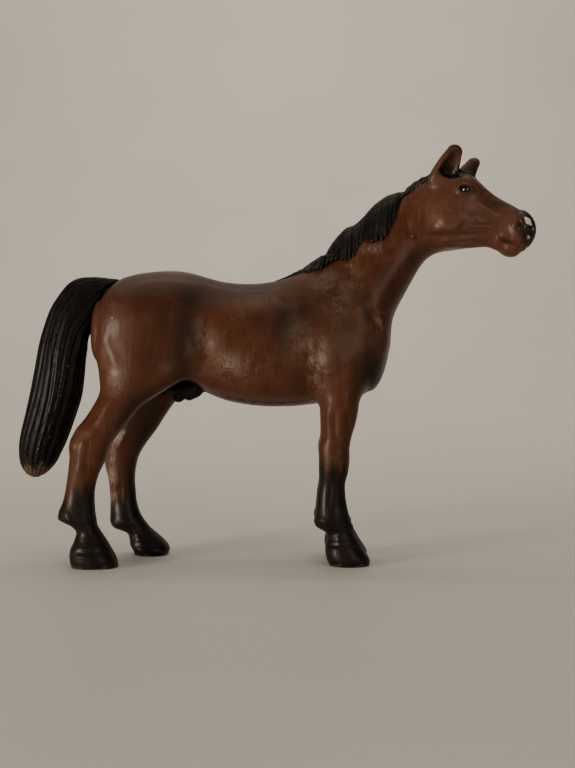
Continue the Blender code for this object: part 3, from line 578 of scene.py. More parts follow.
LEG_STROKES = [
    # forearm: the groove between its muscles, and the knee
    (0.19, 3.0, [(328, 405), (328, 425), (329, 443)], 0.25),
    (-0.22, 2.2, [(334.5, 410), (335, 426), (336, 440)], 0.25),
    (0.22, 3.4, [(341, 404), (341, 424), (342, 444)], 0.25),
    (-0.17, 2.0, [(347.5, 408), (348, 426), (347, 444)], 0.25),
    (0.20, 4.0, [(337, 457), (340, 466)], 0.1),
    (-0.14, 2.4, [(330, 452), (341, 451)], 0.2),
    (-0.14, 2.6, [(330, 474), (342, 474)], 0.2),
    (0.16, 2.4, [(338, 480), (338, 496), (338, 508)], 0.2),
    (-0.19, 2.0, [(331, 480), (330, 496), (328, 510)], 0.2),
    (0.24, 3.2, [(322, 521), (325, 523)], 0.1),
    (-0.19, 2.4, [(330, 531), (338, 536)], 0.2),
    (0.17, 3.0, [(338, 538), (340, 543)], 0.1),
    (-0.22, 1.8, [(328, 545), (340, 546), (352, 545), (360, 543)], 0.15),
    (0.12, 1.6, [(330, 549), (342, 550), (356, 549)], 0.15),
    # near hind leg: gaskin, point and hollow of the hock, tendon and fetlock
    (0.16, 5.0, [(112, 395), (104, 412), (97, 428)], 0.25),
    (-0.10, 4.0, [(100, 404), (92, 420), (84, 432)], 0.25),
    (0.15, 3.8, [(84, 436), (80, 456), (78, 480)], 0.2),
    (-0.19, 2.4, [(90, 436), (87, 456), (86, 480)], 0.2),
    (0.19, 3.0, [(73, 436), (71, 452)], 0.15),
    (0.16, 3.4, [(91, 500), (92, 520)], 0.2),
    (-0.16, 2.0, [(80, 498), (79, 514)], 0.2),
    (0.24, 3.2, [(66, 515), (69, 521)], 0.1),
    (-0.22, 2.0, [(74, 552), (86, 553), (100, 552), (110, 549)], 0.15),
    (0.14, 1.6, [(74, 557), (90, 558), (108, 556)], 0.15),
]
FAR_LEG_STROKES = [
    (0.19, 3.0, [(128, 430), (118, 450)], 0.2),
    (0.19, 2.6, [(112, 456), (113, 480), (116, 505)], 0.2),
    (-0.22, 1.8, [(119.5, 458), (121, 482), (122, 508)], 0.2),
    (0.16, 2.6, [(127, 470), (129, 500)], 0.2),
    (0.22, 2.6, [(114, 524), (117, 527)], 0.1),
    (0.19, 2.6, [(136, 532), (138, 537)], 0.1),
    (-0.20, 1.8, [(133, 545), (146, 547), (160, 545)], 0.15),
]


# The horse's own field


def over(grid, field, low, high, make, soft):
    """Joins a form to the field inside a box. make gives its raw field from x, y and z."""
    ranges = grid.part(low, high)
    if too_thin(ranges):
        return
    form = metric(make(*grid.points(ranges)), grid.step)
    field[ranges] = join(field[ranges], form, soft)


def ball(x, y, z, centre, radii, turn=0.0):
    """A raw field of an egg, turned in the XZ plane."""
    c, s = math.cos(turn), math.sin(turn)
    dx, dz = x - centre[0], z - centre[2]
    u, w = (c * dx + s * dz) / radii[0], (c * dz - s * dx) / radii[2]
    return np.sqrt(u * u + ((y - centre[1]) / radii[1]) ** 2 + w * w) - 1


def ear_frame(place, side, forward, outward, turn):
    """An ear's root and its axes in the head's own frame: x out of the cup, y across, z to the tip. The
    angles are in degrees."""
    angles = ((-side * outward, "X"), (forward, "Y"), (-turn, "Z"))
    across, ahead, about = (Matrix.Rotation(math.radians(angle), 3, axis) for angle, axis in angles)
    return np.array(place), np.array(across @ ahead @ about)


EARS = [ear_frame((4.9, -3.6, 17.7), -1, 27, 6, 66), ear_frame((8.4, 3.4, 16.5), 1, 32, 12, -62)]
# Ear: height, half width, half thickness
EAR = [
    (-0.9, 3.4, 1.9),
    (-0.6, 3.45, 1.92),
    (0.0, 3.55, 1.92),
    (2.0, 3.50, 1.80),
    (4.0, 3.25, 1.65),
    (6.0, 2.90, 1.50),
    (7.6, 2.45, 1.25),
    (8.1, 2.30, 1.18),
    (8.3, 2.25, 1.15),
]
EAR_TIP, EAR_BASE = 2.1, 1.6  # how far the ear bulges out past its last and first rows
CUP_OUT, CUP_ASIDE = 1.35, 0.40  # where the middle of the cup lies, off the ear's own middle
CUP_LOW, CUP_HIGH, CUP_END = 3.2, 7.4, 1.7  # the cup's straight stretch, and how far it bulges past that
CUP_RIM = 0.75  # how much narrower the cup is than the ear on each side
EAR_SOFT, RIM_SOFT = 2.0, 0.5  # how wide the ear's root is filled, and the cup's rim rounded


def ears(grid, field):
    """Adds two leaf-shaped ears with deep cups and rolled rims."""
    for place, turn in EARS:
        wx, wy = from_head(place[0] + 1.5, place[1])
        ranges = grid.part((wx - 8, wy - 8, HEAD_ROOT[1] + 14), (wx + 9, wy + 8, 115))
        if too_thin(ranges):
            continue
        hx, hy, hz = in_head(*grid.points(ranges))
        d = [hx - place[0], hy - place[1], hz - place[2]]
        a, b, c = (d[0] * turn[0, k] + d[1] * turn[1, k] + d[2] * turn[2, k] for k in range(3))
        wide, thick = smooth_rows(EAR, c)
        beyond = most((c - EAR[-1][0]) / EAR_TIP, (EAR[0][0] - c) / EAR_BASE, 0)
        outer = metric(np.sqrt((a / thick) ** 2 + (b / wide) ** 2 + beyond**2) - 1, grid.step)
        inner_wide, inner_thick = smooth_rows(EAR, c + 0.7)
        rim = np.maximum(inner_wide - CUP_RIM, 0.05)
        deep = np.maximum(inner_thick * (1.25 - 0.09 * np.clip(c - 2.0, 0, 6)), 0.2)
        aside = b - math.copysign(CUP_ASIDE, turn[0, 1])
        ends = most((CUP_LOW - c) / CUP_END, (c - CUP_HIGH) / CUP_END, 0)
        cup = metric(np.sqrt(((a - CUP_OUT) / deep) ** 2 + (aside / rim) ** 2 + ends**2) - 1, grid.step)
        field[ranges] = cut(join(field[ranges], outer, EAR_SOFT), cup, RIM_SOFT)


EYE = (11.7, 5.0, 14.75)  # in the head's own frame, mirrored for the near side
EYE_RADIUS = 1.75
EYE_SUNK = 0.85  # how far the eyeball is set in from there
EYE_TILT = math.radians(-12)  # slope of the lids


def head_details(grid, field):
    """Sockets and lids of the eyes, and the parting of the lips."""
    ranges = grid.part((40, -16, 80), (73, 12, 108))
    hx, hy, hz = in_head(*grid.points(ranges))
    block = field[ranges]
    # the eye: a raised rim of lids round an almond, and the socket
    across, up = hx - EYE[0], hz - EYE[2]
    ex = across * math.cos(EYE_TILT) + up * math.sin(EYE_TILT)
    ez = up * math.cos(EYE_TILT) - across * math.sin(EYE_TILT)
    almond = np.sqrt((ex / 1.5) ** 2 + (ez / (0.94 - 0.10 * ex)) ** 2)
    outside = between(2.2, 3.6, np.abs(hy))
    block -= outside * 0.42 * np.exp(-(((almond - 1.32) / 0.30) ** 2))
    block += outside * 0.22 * np.exp(-(((almond - 2.05) / 0.30) ** 2)) * between(-0.6, 0.6, ez)
    block += outside * 1.1 * (1 - between(0.72, 1.08, almond))
    # the mouth: a wedge at its corner, and a thin line to the front of the lips
    corner = hx - 20.6
    line = 1.5 - 0.40 * corner + 0.008 * corner**2
    wedge = between(19.8, 21.0, hx) * between(26.0, 23.0, hx)
    block += 0.62 * wedge * np.exp(-(((hz - line) / 0.34) ** 2))
    block += 0.42 * between(20.6, 22.0, hx) * np.exp(-(((hz - line) / 0.26) ** 2))
    field[ranges] = block


def on_head(grid):
    """Whether the grid reaches the head."""
    return grid.x[-1] > 37 and grid.z[-1] > 81


def horse(grid):
    """The coat's form: trunk, limbs, neck and head together."""
    field = np.full(grid.shape, FAR_AWAY)
    ranges = grid.part((-54, -20, 38), (36, 20, 84))
    if not too_thin(ranges):
        trunk = upright_loft(*grid.points(ranges), TRUNK, TRUNK[0][0], REAR_END, CHEST_END)
        field[ranges] = metric(trunk, grid.step)
    limbs = [
        ((-65, -18, -1), (-16, 0, 80), (NEAR_HIND, -1)),
        ((-60, 0, -1), (-16, 18, 80), (FAR_HIND, 1)),
        ((2, -16, -1), (34, 0, 80), (FRONT, -1)),
        ((2, 0, -1), (34, 16, 80), (FRONT, 1, FAR_FRONT_AHEAD)),
    ]
    for low, high, form in limbs:
        over(grid, field, low, high, lambda x, y, z: level_loft(x, y, z, *form), LIMB_SOFT)
    low, high = (-2, -16, 46), (54, 16, 110)
    over(grid, field, low, high, lambda x, y, z: slanted_loft(x, y, z, NECK)[0], NECK_SOFT)
    if on_head(grid):
        head_form(grid, field)
    sheath = [
        ((-24.6, 0.0, 46.8), (4.6, 2.1, 2.3), -0.15, 1.4),
        ((-26.6, 0.4, 44.9), (1.7, 1.4, 1.5), 0.0, 0.6),
        ((-23.6, -0.5, 45.3), (1.5, 1.3, 1.4), 0.0, 0.6),
    ]
    for *egg, soft in sheath:
        over(grid, field, (-34, -8, 38), (-14, 8, 56), lambda x, y, z: ball(x, y, z, *egg), soft)
    press(field, grid, BODY_STROKES, body_pixels, (-56, -20, 40), (36, 20, 84))
    press(field, grid, NECK_STROKES, body_pixels, (8, -16, 60), (48, 16, 106))
    press(field, grid, LEG_STROKES, body_pixels, (4, -18, -1), (36, 18, 50))
    press(field, grid, LEG_STROKES, body_pixels, (-70, -18, -1), (-18, 0, 50))
    press(field, grid, FAR_LEG_STROKES, seen, (-70, 0, -1), (-18, 18, 50))
    if on_head(grid):
        press(field, grid, HEAD_STROKES, head_pixels, (40, -16, 80), (73, 14, 112))
        head_details(grid, field)
    return field


# Masses of the head, in its own frame: centre, radii, turn, how softly they join
HEAD_PAIRS = [
    ((6.8, 3.3, 6.8), (6.6, 2.8, 6.8), 0.0, 3.0),  # cheek
    ((11.4, 3.8, 15.0), (3.4, 1.9, 2.7), -0.2, 2.2),  # brow and eye
    ((26.2, 2.3, 4.6), (2.6, 1.7, 3.0), 0.2, 1.2),  # nostril's wing
]
HEAD_SINGLES = [
    ((26.1, 0.0, 4.1), (4.0, 3.9, 4.75), 0.0, 1.0),  # muzzle
    ((23.2, 0.0, -0.4), (2.9, 2.9, 2.6), -0.2, 1.2),  # lower lip and chin
]


def head_form(grid, field):
    """Skull, jaw, brows, muzzle and ears."""
    ranges = grid.part((36, -18, 80), (74, 14, 115))
    hx, hy, hz = in_head(*grid.points(ranges))
    form = metric(upright_loft(hx, hy, hz, HEAD, 0, HEAD_END, HEAD_END, HEAD_SQUARENESS), grid.step)
    masses = [((x, side * y, z), *rest) for side in (-1, 1) for (x, y, z), *rest in HEAD_PAIRS]
    for centre, radii, turn, soft in masses + HEAD_SINGLES:
        form = join(form, metric(ball(hx, hy, hz, centre, radii, turn), grid.step), soft)
    field[ranges] = join(field[ranges], form, HEAD_SOFT)
    ears(grid, field)


# From a field to a mesh


def surface(grid, field):
    """Points and four-sided faces of the field's zero surface, with one point in each cell it crosses."""
    inside = field < 0
    corners = [(i, j, k) for i in (0, 1) for j in (0, 1) for k in (0, 1)]
    n = tuple(s - 1 for s in grid.shape)
    count = np.zeros(n, np.int8)
    for i, j, k in corners:
        count += inside[i : i + n[0], j : j + n[1], k : k + n[2]]
    cells = np.nonzero((count > 0) & (count < 8))
    number = np.full(n, -1, np.int64)
    number[cells] = np.arange(len(cells[0]))
    values = {c: field[cells[0] + c[0], cells[1] + c[1], cells[2] + c[2]] for c in corners}
    total = np.zeros((len(cells[0]), 3))
    found = np.zeros(len(cells[0]))
    for a in corners:
        for axis in range(3):
            if a[axis]:
                continue
            b = tuple(1 if m == axis else a[m] for m in range(3))
            va, vb = values[a], values[b]
            crossed = (va < 0) != (vb < 0)
            t = np.where(crossed, va / np.where(crossed, va - vb, 1), 0)
            for m in range(3):
                total[:, m] += crossed * (a[m] + (t if m == axis else 0))
            found += crossed
    points = grid.low + grid.step * (np.stack(cells, -1) + total / found[:, None])
    faces = []
    for axis in range(3):
        one, two = [m for m in range(3) if m != axis]
        take_a = [slice(None)] * 3
        take_b = [slice(None)] * 3
        take_a[axis], take_b[axis] = slice(None, -1), slice(1, None)
        for m in (one, two):
            take_a[m] = take_b[m] = slice(1, -1)
        starts, ends = inside[tuple(take_a)], inside[tuple(take_b)]
        for sign, mask in ((1, starts & ~ends), (-1, ~starts & ends)):
            at = np.nonzero(mask)
            at = [at[m] + (0 if m == axis else 1) for m in range(3)]
            ring = []
            for d1, d2 in ((-1, -1), (0, -1), (0, 0), (-1, 0)):
                index = list(at)
                index[one] = index[one] + d1
                index[two] = index[two] + d2
                ring.append(number[tuple(index)])
            quad = np.stack(ring, -1)
            flip = (sign > 0) == (axis == 1)
            faces.append(quad[:, ::-1] if flip else quad)
    used, faces = np.unique(np.concatenate(faces), return_inverse=True)
    return points[used], faces.reshape(-1, 4)


SMOOTHING = (0.5, -0.52, 0.5, -0.52)  # each pull together is followed by a slightly larger push apart


def smooth_points(points, faces):
    """Evens out the spacing of the points without shrinking the form."""
    pairs = np.concatenate([faces[:, (k, (k + 1) % 4)] for k in range(4)])
    pairs = np.concatenate([pairs, pairs[:, ::-1]])
    for factor in SMOOTHING:
        total = np.zeros_like(points)
        number = np.zeros(len(points))
        np.add.at(total, pairs[:, 0], points[pairs[:, 1]])
        np.add.at(number, pairs[:, 0], 1)
        points = points + factor * (total / number[:, None] - points)
    return points


def mesh_of(name, points, faces):
    """A mesh in metres."""
    mesh = bpy.data.meshes.new(name)
    mesh.vertices.add(len(points))
    mesh.vertices.foreach_set("co", (points * MM).ravel())
    mesh.loops.add(4 * len(faces))
    mesh.loops.foreach_set("vertex_index", faces.ravel())
    mesh.polygons.add(len(faces))
    mesh.polygons.foreach_set("loop_start", 4 * np.arange(len(faces)))
    mesh.polygons.foreach_set("loop_total", np.full(len(faces), 4))
    mesh.update(calc_edges=True)
    mesh.validate()
    return mesh


def slice_off(mesh, planes):
    """Keeps the part of a closed mesh behind each plane of (point, direction), and closes it there."""
    made = bmesh.new()
    made.from_mesh(mesh)
    for point, direction in planes:
        bmesh.ops.bisect_plane(
            made,
            geom=made.verts[:] + made.edges[:] + made.faces[:],
            dist=1e-7,
            plane_co=Vector(point) * MM,
            plane_no=Vector(direction),
            clear_outer=True,
        )
        edges = [edge for edge in made.edges if edge.is_boundary]
        filled = bmesh.ops.holes_fill(made, edges=edges, sides=0)["faces"]
        for face in filled:
            face.smooth = False
            for edge in face.edges:
                edge.smooth = False
        bmesh.ops.triangulate(made, faces=filled)
    made.to_mesh(mesh)
    made.free()


def largest_only(mesh):
    """Drops loose crumbs, so that the mesh is one body."""
    made = bmesh.new()
    made.from_mesh(mesh)
    left, groups = set(made.verts), []
    while left:
        stack, group = [left.pop()], []
        while stack:
            vert = stack.pop()
            group.append(vert)
            near = {edge.other_vert(vert) for edge in vert.link_edges} & left
            left -= near
            stack.extend(near)
        groups.append(group)
    for group in sorted(groups, key=len)[:-1]:
        bmesh.ops.delete(made, geom=group, context="VERTS")
    made.to_mesh(mesh)
    made.free()


def placed(name, data):
    """A new object in the scene."""
    piece = bpy.data.objects.new(name, data)
    bpy.context.scene.collection.objects.link(piece)
    return piece


def build(name, grid, field, planes):
    """One closed piece from a field, cut off at planes."""
    points, faces = surface(grid, field)
    mesh = mesh_of(name, smooth_points(points, faces), faces)
    mesh.shade_smooth()
    slice_off(mesh, planes)
    largest_only(mesh)
    return placed(name, mesh)


# Planes where the pieces meet
neck_across = np.array(NECK_SEAM[1]) - np.array(NECK_SEAM[0])
NECK_NORMAL = (-neck_across[1] / np.hypot(*neck_across), 0.0, neck_across[0] / np.hypot(*neck_across))
NECK_POINT = (NECK_SEAM[0][0], 0.0, NECK_SEAM[0][1])
DOWN, UP = (0, 0, -1), (0, 0, 1)

pieces = {}

body_grid = Grid((-55, -18, 38.5), (36, 18, 90), BODY_STEP)
body_field = horse(body_grid)
for name, side in (("right_body_shell", -1), ("left_body_shell", 1)):
    cuts = [((0, 0, 0), (0, -side, 0)), ((0, 0, LEG_SEAM), DOWN), (NECK_POINT, NECK_NORMAL)]
    pieces[name] = build(name + "_form", body_grid, body_field, cuts)

head_grid = Grid((8, -15, 58), (73, 13, 115), HEAD_STEP)
cuts = [(NECK_POINT, tuple(-c for c in NECK_NORMAL))]
pieces["head_and_neck"] = build("head_and_neck_form", head_grid, horse(head_grid), cuts)

for name, low, high in (
    ("right_hind_leg", (-62, -18, -1.5), (-28, -1, 44)),
    ("left_hind_leg", (-54, 1, -1.5), (-22, 18, 44)),
    ("right_front_leg", (5, -15, -1.5), (30, -1, 44)),
    ("left_front_leg", (5, 1, -1.5), (31, 15, 44)),
):
    leg_grid = Grid(low, high, LEG_STEP)
    cuts = [((0, 0, 0), DOWN), ((0, 0, LEG_SEAM), UP)]
    pieces[name] = build(name + "_form", leg_grid, horse(leg_grid), cuts)


# Hair


def ripple(angle, sharp=1.0):
    """Rounded ridges with narrow valleys, from 0 to 1, one for each half turn of the angle."""
    return np.abs(np.sin(angle)) ** sharp


def tail_field(grid):
    """The tail: a bundle of locks that run its whole length and part a little at the tip."""
    raw, s, u, v = slanted_loft(*grid.points(), TAIL)
    turn = np.arctan2(u, v)
    turn = turn + 0.07 * np.sin(3 * turn + 5.0 * s + 1.0) + 0.035 * np.sin(7 * turn - 9.0 * s)
    turn = turn + 0.22 * (s - 0.5) * np.sin(turn)
    coming = between(0.02, 0.14, s)
    locks = ripple(8.5 * turn + 0.35 * np.sin(6 * s + 2 * turn), 0.7)
    strands = ripple(22.0 * turn + 0.8 * np.sin(9 * s + 3 * turn), 0.8)
    ends = between(0.86, 0.99, s)
    uneven = 0.7 + 0.3 * np.sin(5.0 * turn + 2.0 * s)
    carved = (0.46 * uneven + 0.6 * ends) * (1 - locks) + 0.24 * (1 - strands)
    wave = 0.08 * np.sin(4.0 * turn + 5.0 * s)
    parted = ends * 0.4 * (1 - ripple(4.5 * turn + 1.0, 0.6))
    return metric(raw, grid.step) + coming * (carved + wave) + parted


# Lower edge of the mane, and how thick the hair lies along the crest, in pixels and millimetres
MANE_EDGE = [
    (270, 283.6), (278, 282.6), (285, 280.8), (290, 279.0), (296, 276.8), (303, 274.0), (310, 270.8),
    (314, 269.6), (320, 268.4), (325, 265.4), (329, 261.2), (333, 259.6), (339, 259.4), (345, 259.4),
    (350, 258.8), (354, 255.0), (357, 249.6), (360, 243.6), (364, 240.8), (371, 241.4), (377, 240.8),
    (382, 238.8), (387, 232.4), (391, 225.4), (395, 215.4), (398, 205.0), (401, 200.0), (405, 195.4),
    (409, 193.0), (414, 191.0), (418, 188.0), (421, 185.2), (425, 182.4), (431, 178.4), (450, 176.0),
]
MANE_THICKNESS = [
    (272, 0.30), (282, 0.60), (290, 0.85), (304, 1.20), (313, 1.45), (320, 1.65), (328, 1.85),
    (338, 1.85), (346, 1.75), (354, 1.25), (362, 1.35), (371, 1.70), (379, 2.05), (389, 2.00),
    (397, 1.45), (405, 1.00), (413, 0.70), (419, 0.55), (426, 0.50), (436, 0.35), (450, 0.20),
]


MANE_START, MANE_STOP = 274, 430.5  # its ends, in pixels
MANE_SUNK = 0.9  # how deep the hair reaches into the coat


def crest_hair(grid, coat):
    """A sheet of locks that lies on the crest and hangs down the near side."""
    x, y, z = grid.points()
    px, py = seen(x, y, z)
    edge = np.interp(px, *zip(*MANE_EDGE))
    thick = smooth_rows(MANE_THICKNESS, px)[0]
    hanging = np.maximum(edge - py, 0)
    lean = 0.06 + 0.70 * (1 - between(314, 332, px)) + 0.12 * between(384, 400, px)
    u = px - lean * hanging
    u = u + 0.9 * np.sin(u / 6.3 + 0.8) + 0.25 * np.sin(u / 3.1 + py / 21.0)
    locks = ripple(math.pi * u / 13.0, 0.8)
    strands = ripple(math.pi * u / 4.5 + 0.25 * np.sin(py / 11.0), 0.9)
    fine = ripple(math.pi * u / 1.7 + 0.5 * np.sin(py / 9.0))
    some = 0.55 + 0.45 * np.sin(u / 7.7 + 0.6) * np.sin(u / 2.9)
    low = 0.60 + 0.40 * between(26, 4, hanging)
    carved = 0.20 * (1 - locks) + 0.62 * some * low * (1 - strands) + 0.08 * (1 - fine)
    aside = 0.25 + 0.75 * between(-0.4, -3.0, y)
    outer = coat - thick * (0.62 + 0.38 * between(0, 16, hanging))
    outer = outer + between(280, 300, px) * aside * carved
    tips = 1.6 * locks + 2.2 * strands - 2.4
    tips = tips * between(312, 322, px) * (1 - 0.55 * between(396, 408, px))
    near = (py - edge - tips) * MM_PER_PX
    far = y - 1.9 - 0.5 * strands
    narrow = 0.35 + 1.9 * between(MANE_START, 300, px) + 9.0 * between(298, 326, px)
    band = most(near, -y - narrow, far, y - narrow)
    ends = most(MANE_START - px, px - MANE_STOP) * MM_PER_PX
    return cut(cut(outer, -band, 0.5), -ends, 0.4)


def forelock(grid, coat):
    """The hair that falls between the ears."""
    hx, hy, hz = in_head(*grid.points())
    strip = np.abs(hy + 0.25 * np.sin(hx)) - 2.9 * (1 - 0.75 * between(6.5, 13.5, hx))
    locks = ripple(2.1 * hy + 0.35 * hx, 0.8)
    strands = ripple(5.3 * hy + 0.5 * hx)
    outer = coat - 0.75 + 0.30 * (1 - locks) + 0.12 * (1 - strands) + 0.6 * between(12.0, 14.5, hx)
    ends = most(-1.0 - hx, hx - 14.5, 14.0 - hz)
    return cut(cut(outer, -strip, 0.5), -ends, 0.4)


def mane_field(grid, coat):
    """The mane and the forelock as one strip, sunk a little into the coat."""
    hair = join(crest_hair(grid, coat), forelock(grid, coat), 0.4)
    return np.maximum(hair, -(coat + MANE_SUNK))


tail_grid = Grid((-75, -8, 18), (-40, 8, 82), HAIR_STEP)
pieces["tail"] = build("tail_form", tail_grid, tail_field(tail_grid), [])
mane_grid = Grid((-3, -12, 72), (58, 6, 110), HAIR_STEP)
pieces["mane"] = build("mane_form", mane_grid, mane_field(mane_grid, horse(mane_grid)), [])

for name, side in (("right_eye", -1), ("left_eye", 1)):
    made = bmesh.new()
    bmesh.ops.create_uvsphere(made, u_segments=48, v_segments=32, radius=EYE_RADIUS * MM)
    wx, wy = from_head(EYE[0], side * (EYE[1] - EYE_SUNK))
    bmesh.ops.translate(made, vec=Vector((wx, wy, EYE[2] + HEAD_ROOT[1])) * MM, verts=made.verts)
    mesh = bpy.data.meshes.new(name)
    made.to_mesh(mesh)
    made.free()
    mesh.shade_smooth()
    pieces[name] = placed(name, mesh)


# Paint, laid down as masks on the points


def spots(px, py, marks):
    """The strongest of soft marks: (strength, x, y, half width, half height)."""
    total = np.zeros(px.shape)
    for strength, mx, my, wide, tall in marks:
        total = np.maximum(total, strength * np.exp(-((px - mx) / wide) ** 2 - ((py - my) / tall) ** 2))
    return total


# Marks in pixels: strength, x, y, half width, half height
# Dark paint mottling, and painted shade: the top of the back, the rump and the shoulder made darker, and
# the far hind leg and the places between the legs darker
DARK_AND_SHADE_MARKS = [
    (1.00, 192, 296, 21, 15), (1.00, 184, 338, 14, 42), (0.55, 164, 318, 13, 38),
    (0.60, 209, 297, 12, 11), (0.95, 284, 322, 13, 27), (0.50, 262, 320, 12, 13),
    (0.60, 304, 310, 11, 26), (0.55, 346, 320, 8, 28), (0.45, 352, 292, 7, 18), (0.70, 366, 304, 7, 18),
    (0.30, 150, 352, 20, 38), (0.45, 392, 292, 14, 26), (0.40, 412, 262, 10, 16),
    (0.70, 184, 384, 12, 12), (0.45, 150, 396, 12, 12), (0.35, 296, 378, 9, 14), (0.95, 144, 424, 22, 36),
    (0.90, 131, 482, 10, 36), (0.40, 366, 344, 8, 14), (0.95, 369, 368, 12, 26), (0.55, 205, 284, 14, 10),
    (0.55, 250, 288, 44, 14), (0.45, 148, 290, 42, 30), (0.45, 326, 296, 34, 24),
]
BLACK_MARKS = [(0.95, 455, 169.5, 9, 3.0), (0.85, 468, 171, 7, 2.8)]
DULL_MARKS = [
    (1.0, 114, 326, 16, 24), (0.6, 112, 352, 12, 16), (1.0, 332, 425, 12, 45), (1.0, 78, 462, 10, 36),
    (0.8, 212, 342, 10, 16), (0.5, 300, 286, 60, 10), (0.6, 430, 185, 6, 6), (1.0, 467, 172, 11, 5),
]
BRUSHED_MARKS = [(1.0, 262, 344, 52, 46), (0.8, 222, 360, 24, 22), (0.9, 318, 358, 14, 30)]
BELLY_LINE = [
    (205, 391.4), (214, 393.9), (230, 398.1), (250, 401.8), (270, 403.2), (290, 402.5), (318, 398.0),
]
# Dark paint of the eye, the forelock and the ear tip, and painted shade in the ear cups, the nostril, the
# corner of the mouth and the creases and grooves of the cheek
HEAD_DARK_AND_SHADE_MARKS = [
    (1.0, 448, 165, 5, 5), (0.8, 452, 156, 4, 9), (0.7, 458, 149, 4, 6), (1.0, 471, 164, 6, 9),
    (0.9, 458, 168, 8, 3), (1.0, 519, 227, 2.2, 7), (0.9, 524, 230, 4.5, 7), (0.6, 500, 204, 12, 3),
    (0.45, 418, 216, 2.2, 14), (0.6, 505, 241.5, 5, 1.6), (0.35, 461, 229, 3, 6),
    (0.35, 478, 222, 14, 2.4), (0.35, 445, 234, 20, 2.2), (0.75, 466, 189.5, 6.5, 4.8),
]
# Worn, paler paint, and painted highlights: pale gloss streaks behind the elbow and on the lower barrel, a
# light line along the chest's crease and rim, sheen on the shoulder and rump, and lit brown strands under
# the mane
WORN_AND_SHEEN_MARKS = [
    (1.00, 323, 358, 5.0, 20), (1.00, 311, 360, 3.2, 23), (0.8, 317, 372, 6, 17), (0.45, 326, 376, 5, 12),
    (0.80, 226, 366, 14, 12), (0.30, 206, 344, 10, 22), (0.32, 300, 338, 14, 18),
    (0.30, 247, 368, 20, 12), (0.35, 324, 286, 12, 14), (0.25, 337, 300, 16, 26), (0.30, 115, 384, 8, 16),
    (0.20, 110, 330, 12, 30), (1.00, 112, 480, 4.5, 36), (0.45, 375, 248, 15, 5), (0.40, 380, 330, 5, 22),
    (0.35, 383, 378, 4, 10), (0.22, 262, 300, 30, 8), (0.25, 352, 280, 10, 12),
]
# Specks in pixels: x, y, size
LIGHT_SPECKS = [
    (184, 347, 1.3), (269, 363, 1.2), (230, 368, 1.1), (338, 325, 1.3), (345, 335, 1.0), (220, 392, 1.0),
    (112, 318, 0.9), (124, 326, 0.9), (131, 345, 0.9), (68, 366, 1.2), (57, 373, 1.1), (29, 331, 1.0),
    (50, 437, 1.1), (42, 437, 1.2), (38, 449, 1.1), (303, 352, 1.0), (351, 362, 0.8), (144, 400, 0.9),
]
# White paint on the muzzle, and a thin painted highlight down the muzzle's front
PALE_AND_GLINT_MARKS = [(0.53, 528.6, 237.2, 3.4, 4.4), (0.62, 533.0, 229, 0.8, 3.4), (0.44, 530.5, 229.5, 1.4, 3.0)]
# painted shade in the nostril's opening, laid as black
NOSTRIL_SHADE_MARK = (0.95, 520, 227, 2.2, 6.5)
CHEST_MARK = (0.66, 375, 376, 15, 21)
SPECK_STRENGTH, SPECK_SIZE = 0.8, 0.55  # SPECK_SIZE is the half width of a speck of size 1


BLACK_FADE_BELOW, BLACK_FADE_ABOVE = 7.0, 6.5  # where the black starts and stops to fade, off its edge


def black_legs(x, y, z):
    """The black of the lower legs, with an uneven, fingered edge."""
    uneven = 0.8 * np.sin(1.9 * x + 0.8 * y) + 0.5 * np.sin(4.3 * x - 2.0 * y)
    uneven = uneven + 0.3 * np.sin(9.1 * x + 3.0 * y)
    near_hind, far_hind = 21.5 + 0.35 * (x + 50) + uneven, 17.5 + 0.7 * (x + 42) + uneven
    front = 27.0 - 0.45 * (x - 16) + 1.6 * uneven
    edge = np.where(x < -10, np.where(y > 0, far_hind, near_hind), front)
    return 1 - between(edge - BLACK_FADE_BELOW, edge + BLACK_FADE_ABOVE, z)


def black_head(hx, hy, hz, px, py):
    """The black of the muzzle, with painted shade in the nostril's opening, and of the hollow between the
    ears.
    """
    cap = hx + 1.6 * between(6.4, 8.6, hz) - 1.6 * between(0.4, -1.0, hz)
    muzzle = 0.52 * between(24.6, 26.8, cap) + 0.48 * between(27.6, 29.4, cap)
    muzzle = most(muzzle, spots(px, py, [NOSTRIL_SHADE_MARK])) * (hx > 20)
    poll = between(0.0, 1.0, 1.8 - np.hypot((hx - 8.4) / 3.3, (hz - 19.7) / 1.5)) * (hy < 4.5)
    poll = most(0.85 * poll, spots(px, py, BLACK_MARKS) * (hz > 14))
    return most(muzzle, poll) * (hx > 0)


def belly_seam(px, py):
    """The broken dark line along the belly."""
    edge = np.interp(px, *zip(*BELLY_LINE)) + 1.1 * np.sin(0.9 * px + 0.5) + 0.6 * np.sin(2.3 * px)
    broken = between(-1.2, -0.2, np.sin(0.45 * px) + np.sin(1.3 * px + 2.0))
    return np.exp(-(((py - edge) / 1.4) ** 2)) * between(206, 214, px) * between(322, 314, px) * broken


def rubbed_rim(name, x, y, z):
    """Where the paint is rubbed off: the hooves' lower rims and the tip of the tail."""
    if name == "mane":
        return 0 * z
    if name == "tail":
        return 1 - between(22.5, 31.0, z + 0.8 * np.sin(1.7 * x))
    rim = 1 - between(0.3, 1.5, z + 0.3 * np.sin(2.1 * x + y))
    rim = rim * between(-0.4, 0.7, np.sin(0.9 * x + 0.5 * y) + 0.4)
    return most(0.8 * rim, 0.5 * (1 - between(0.2, 0.7, z)))


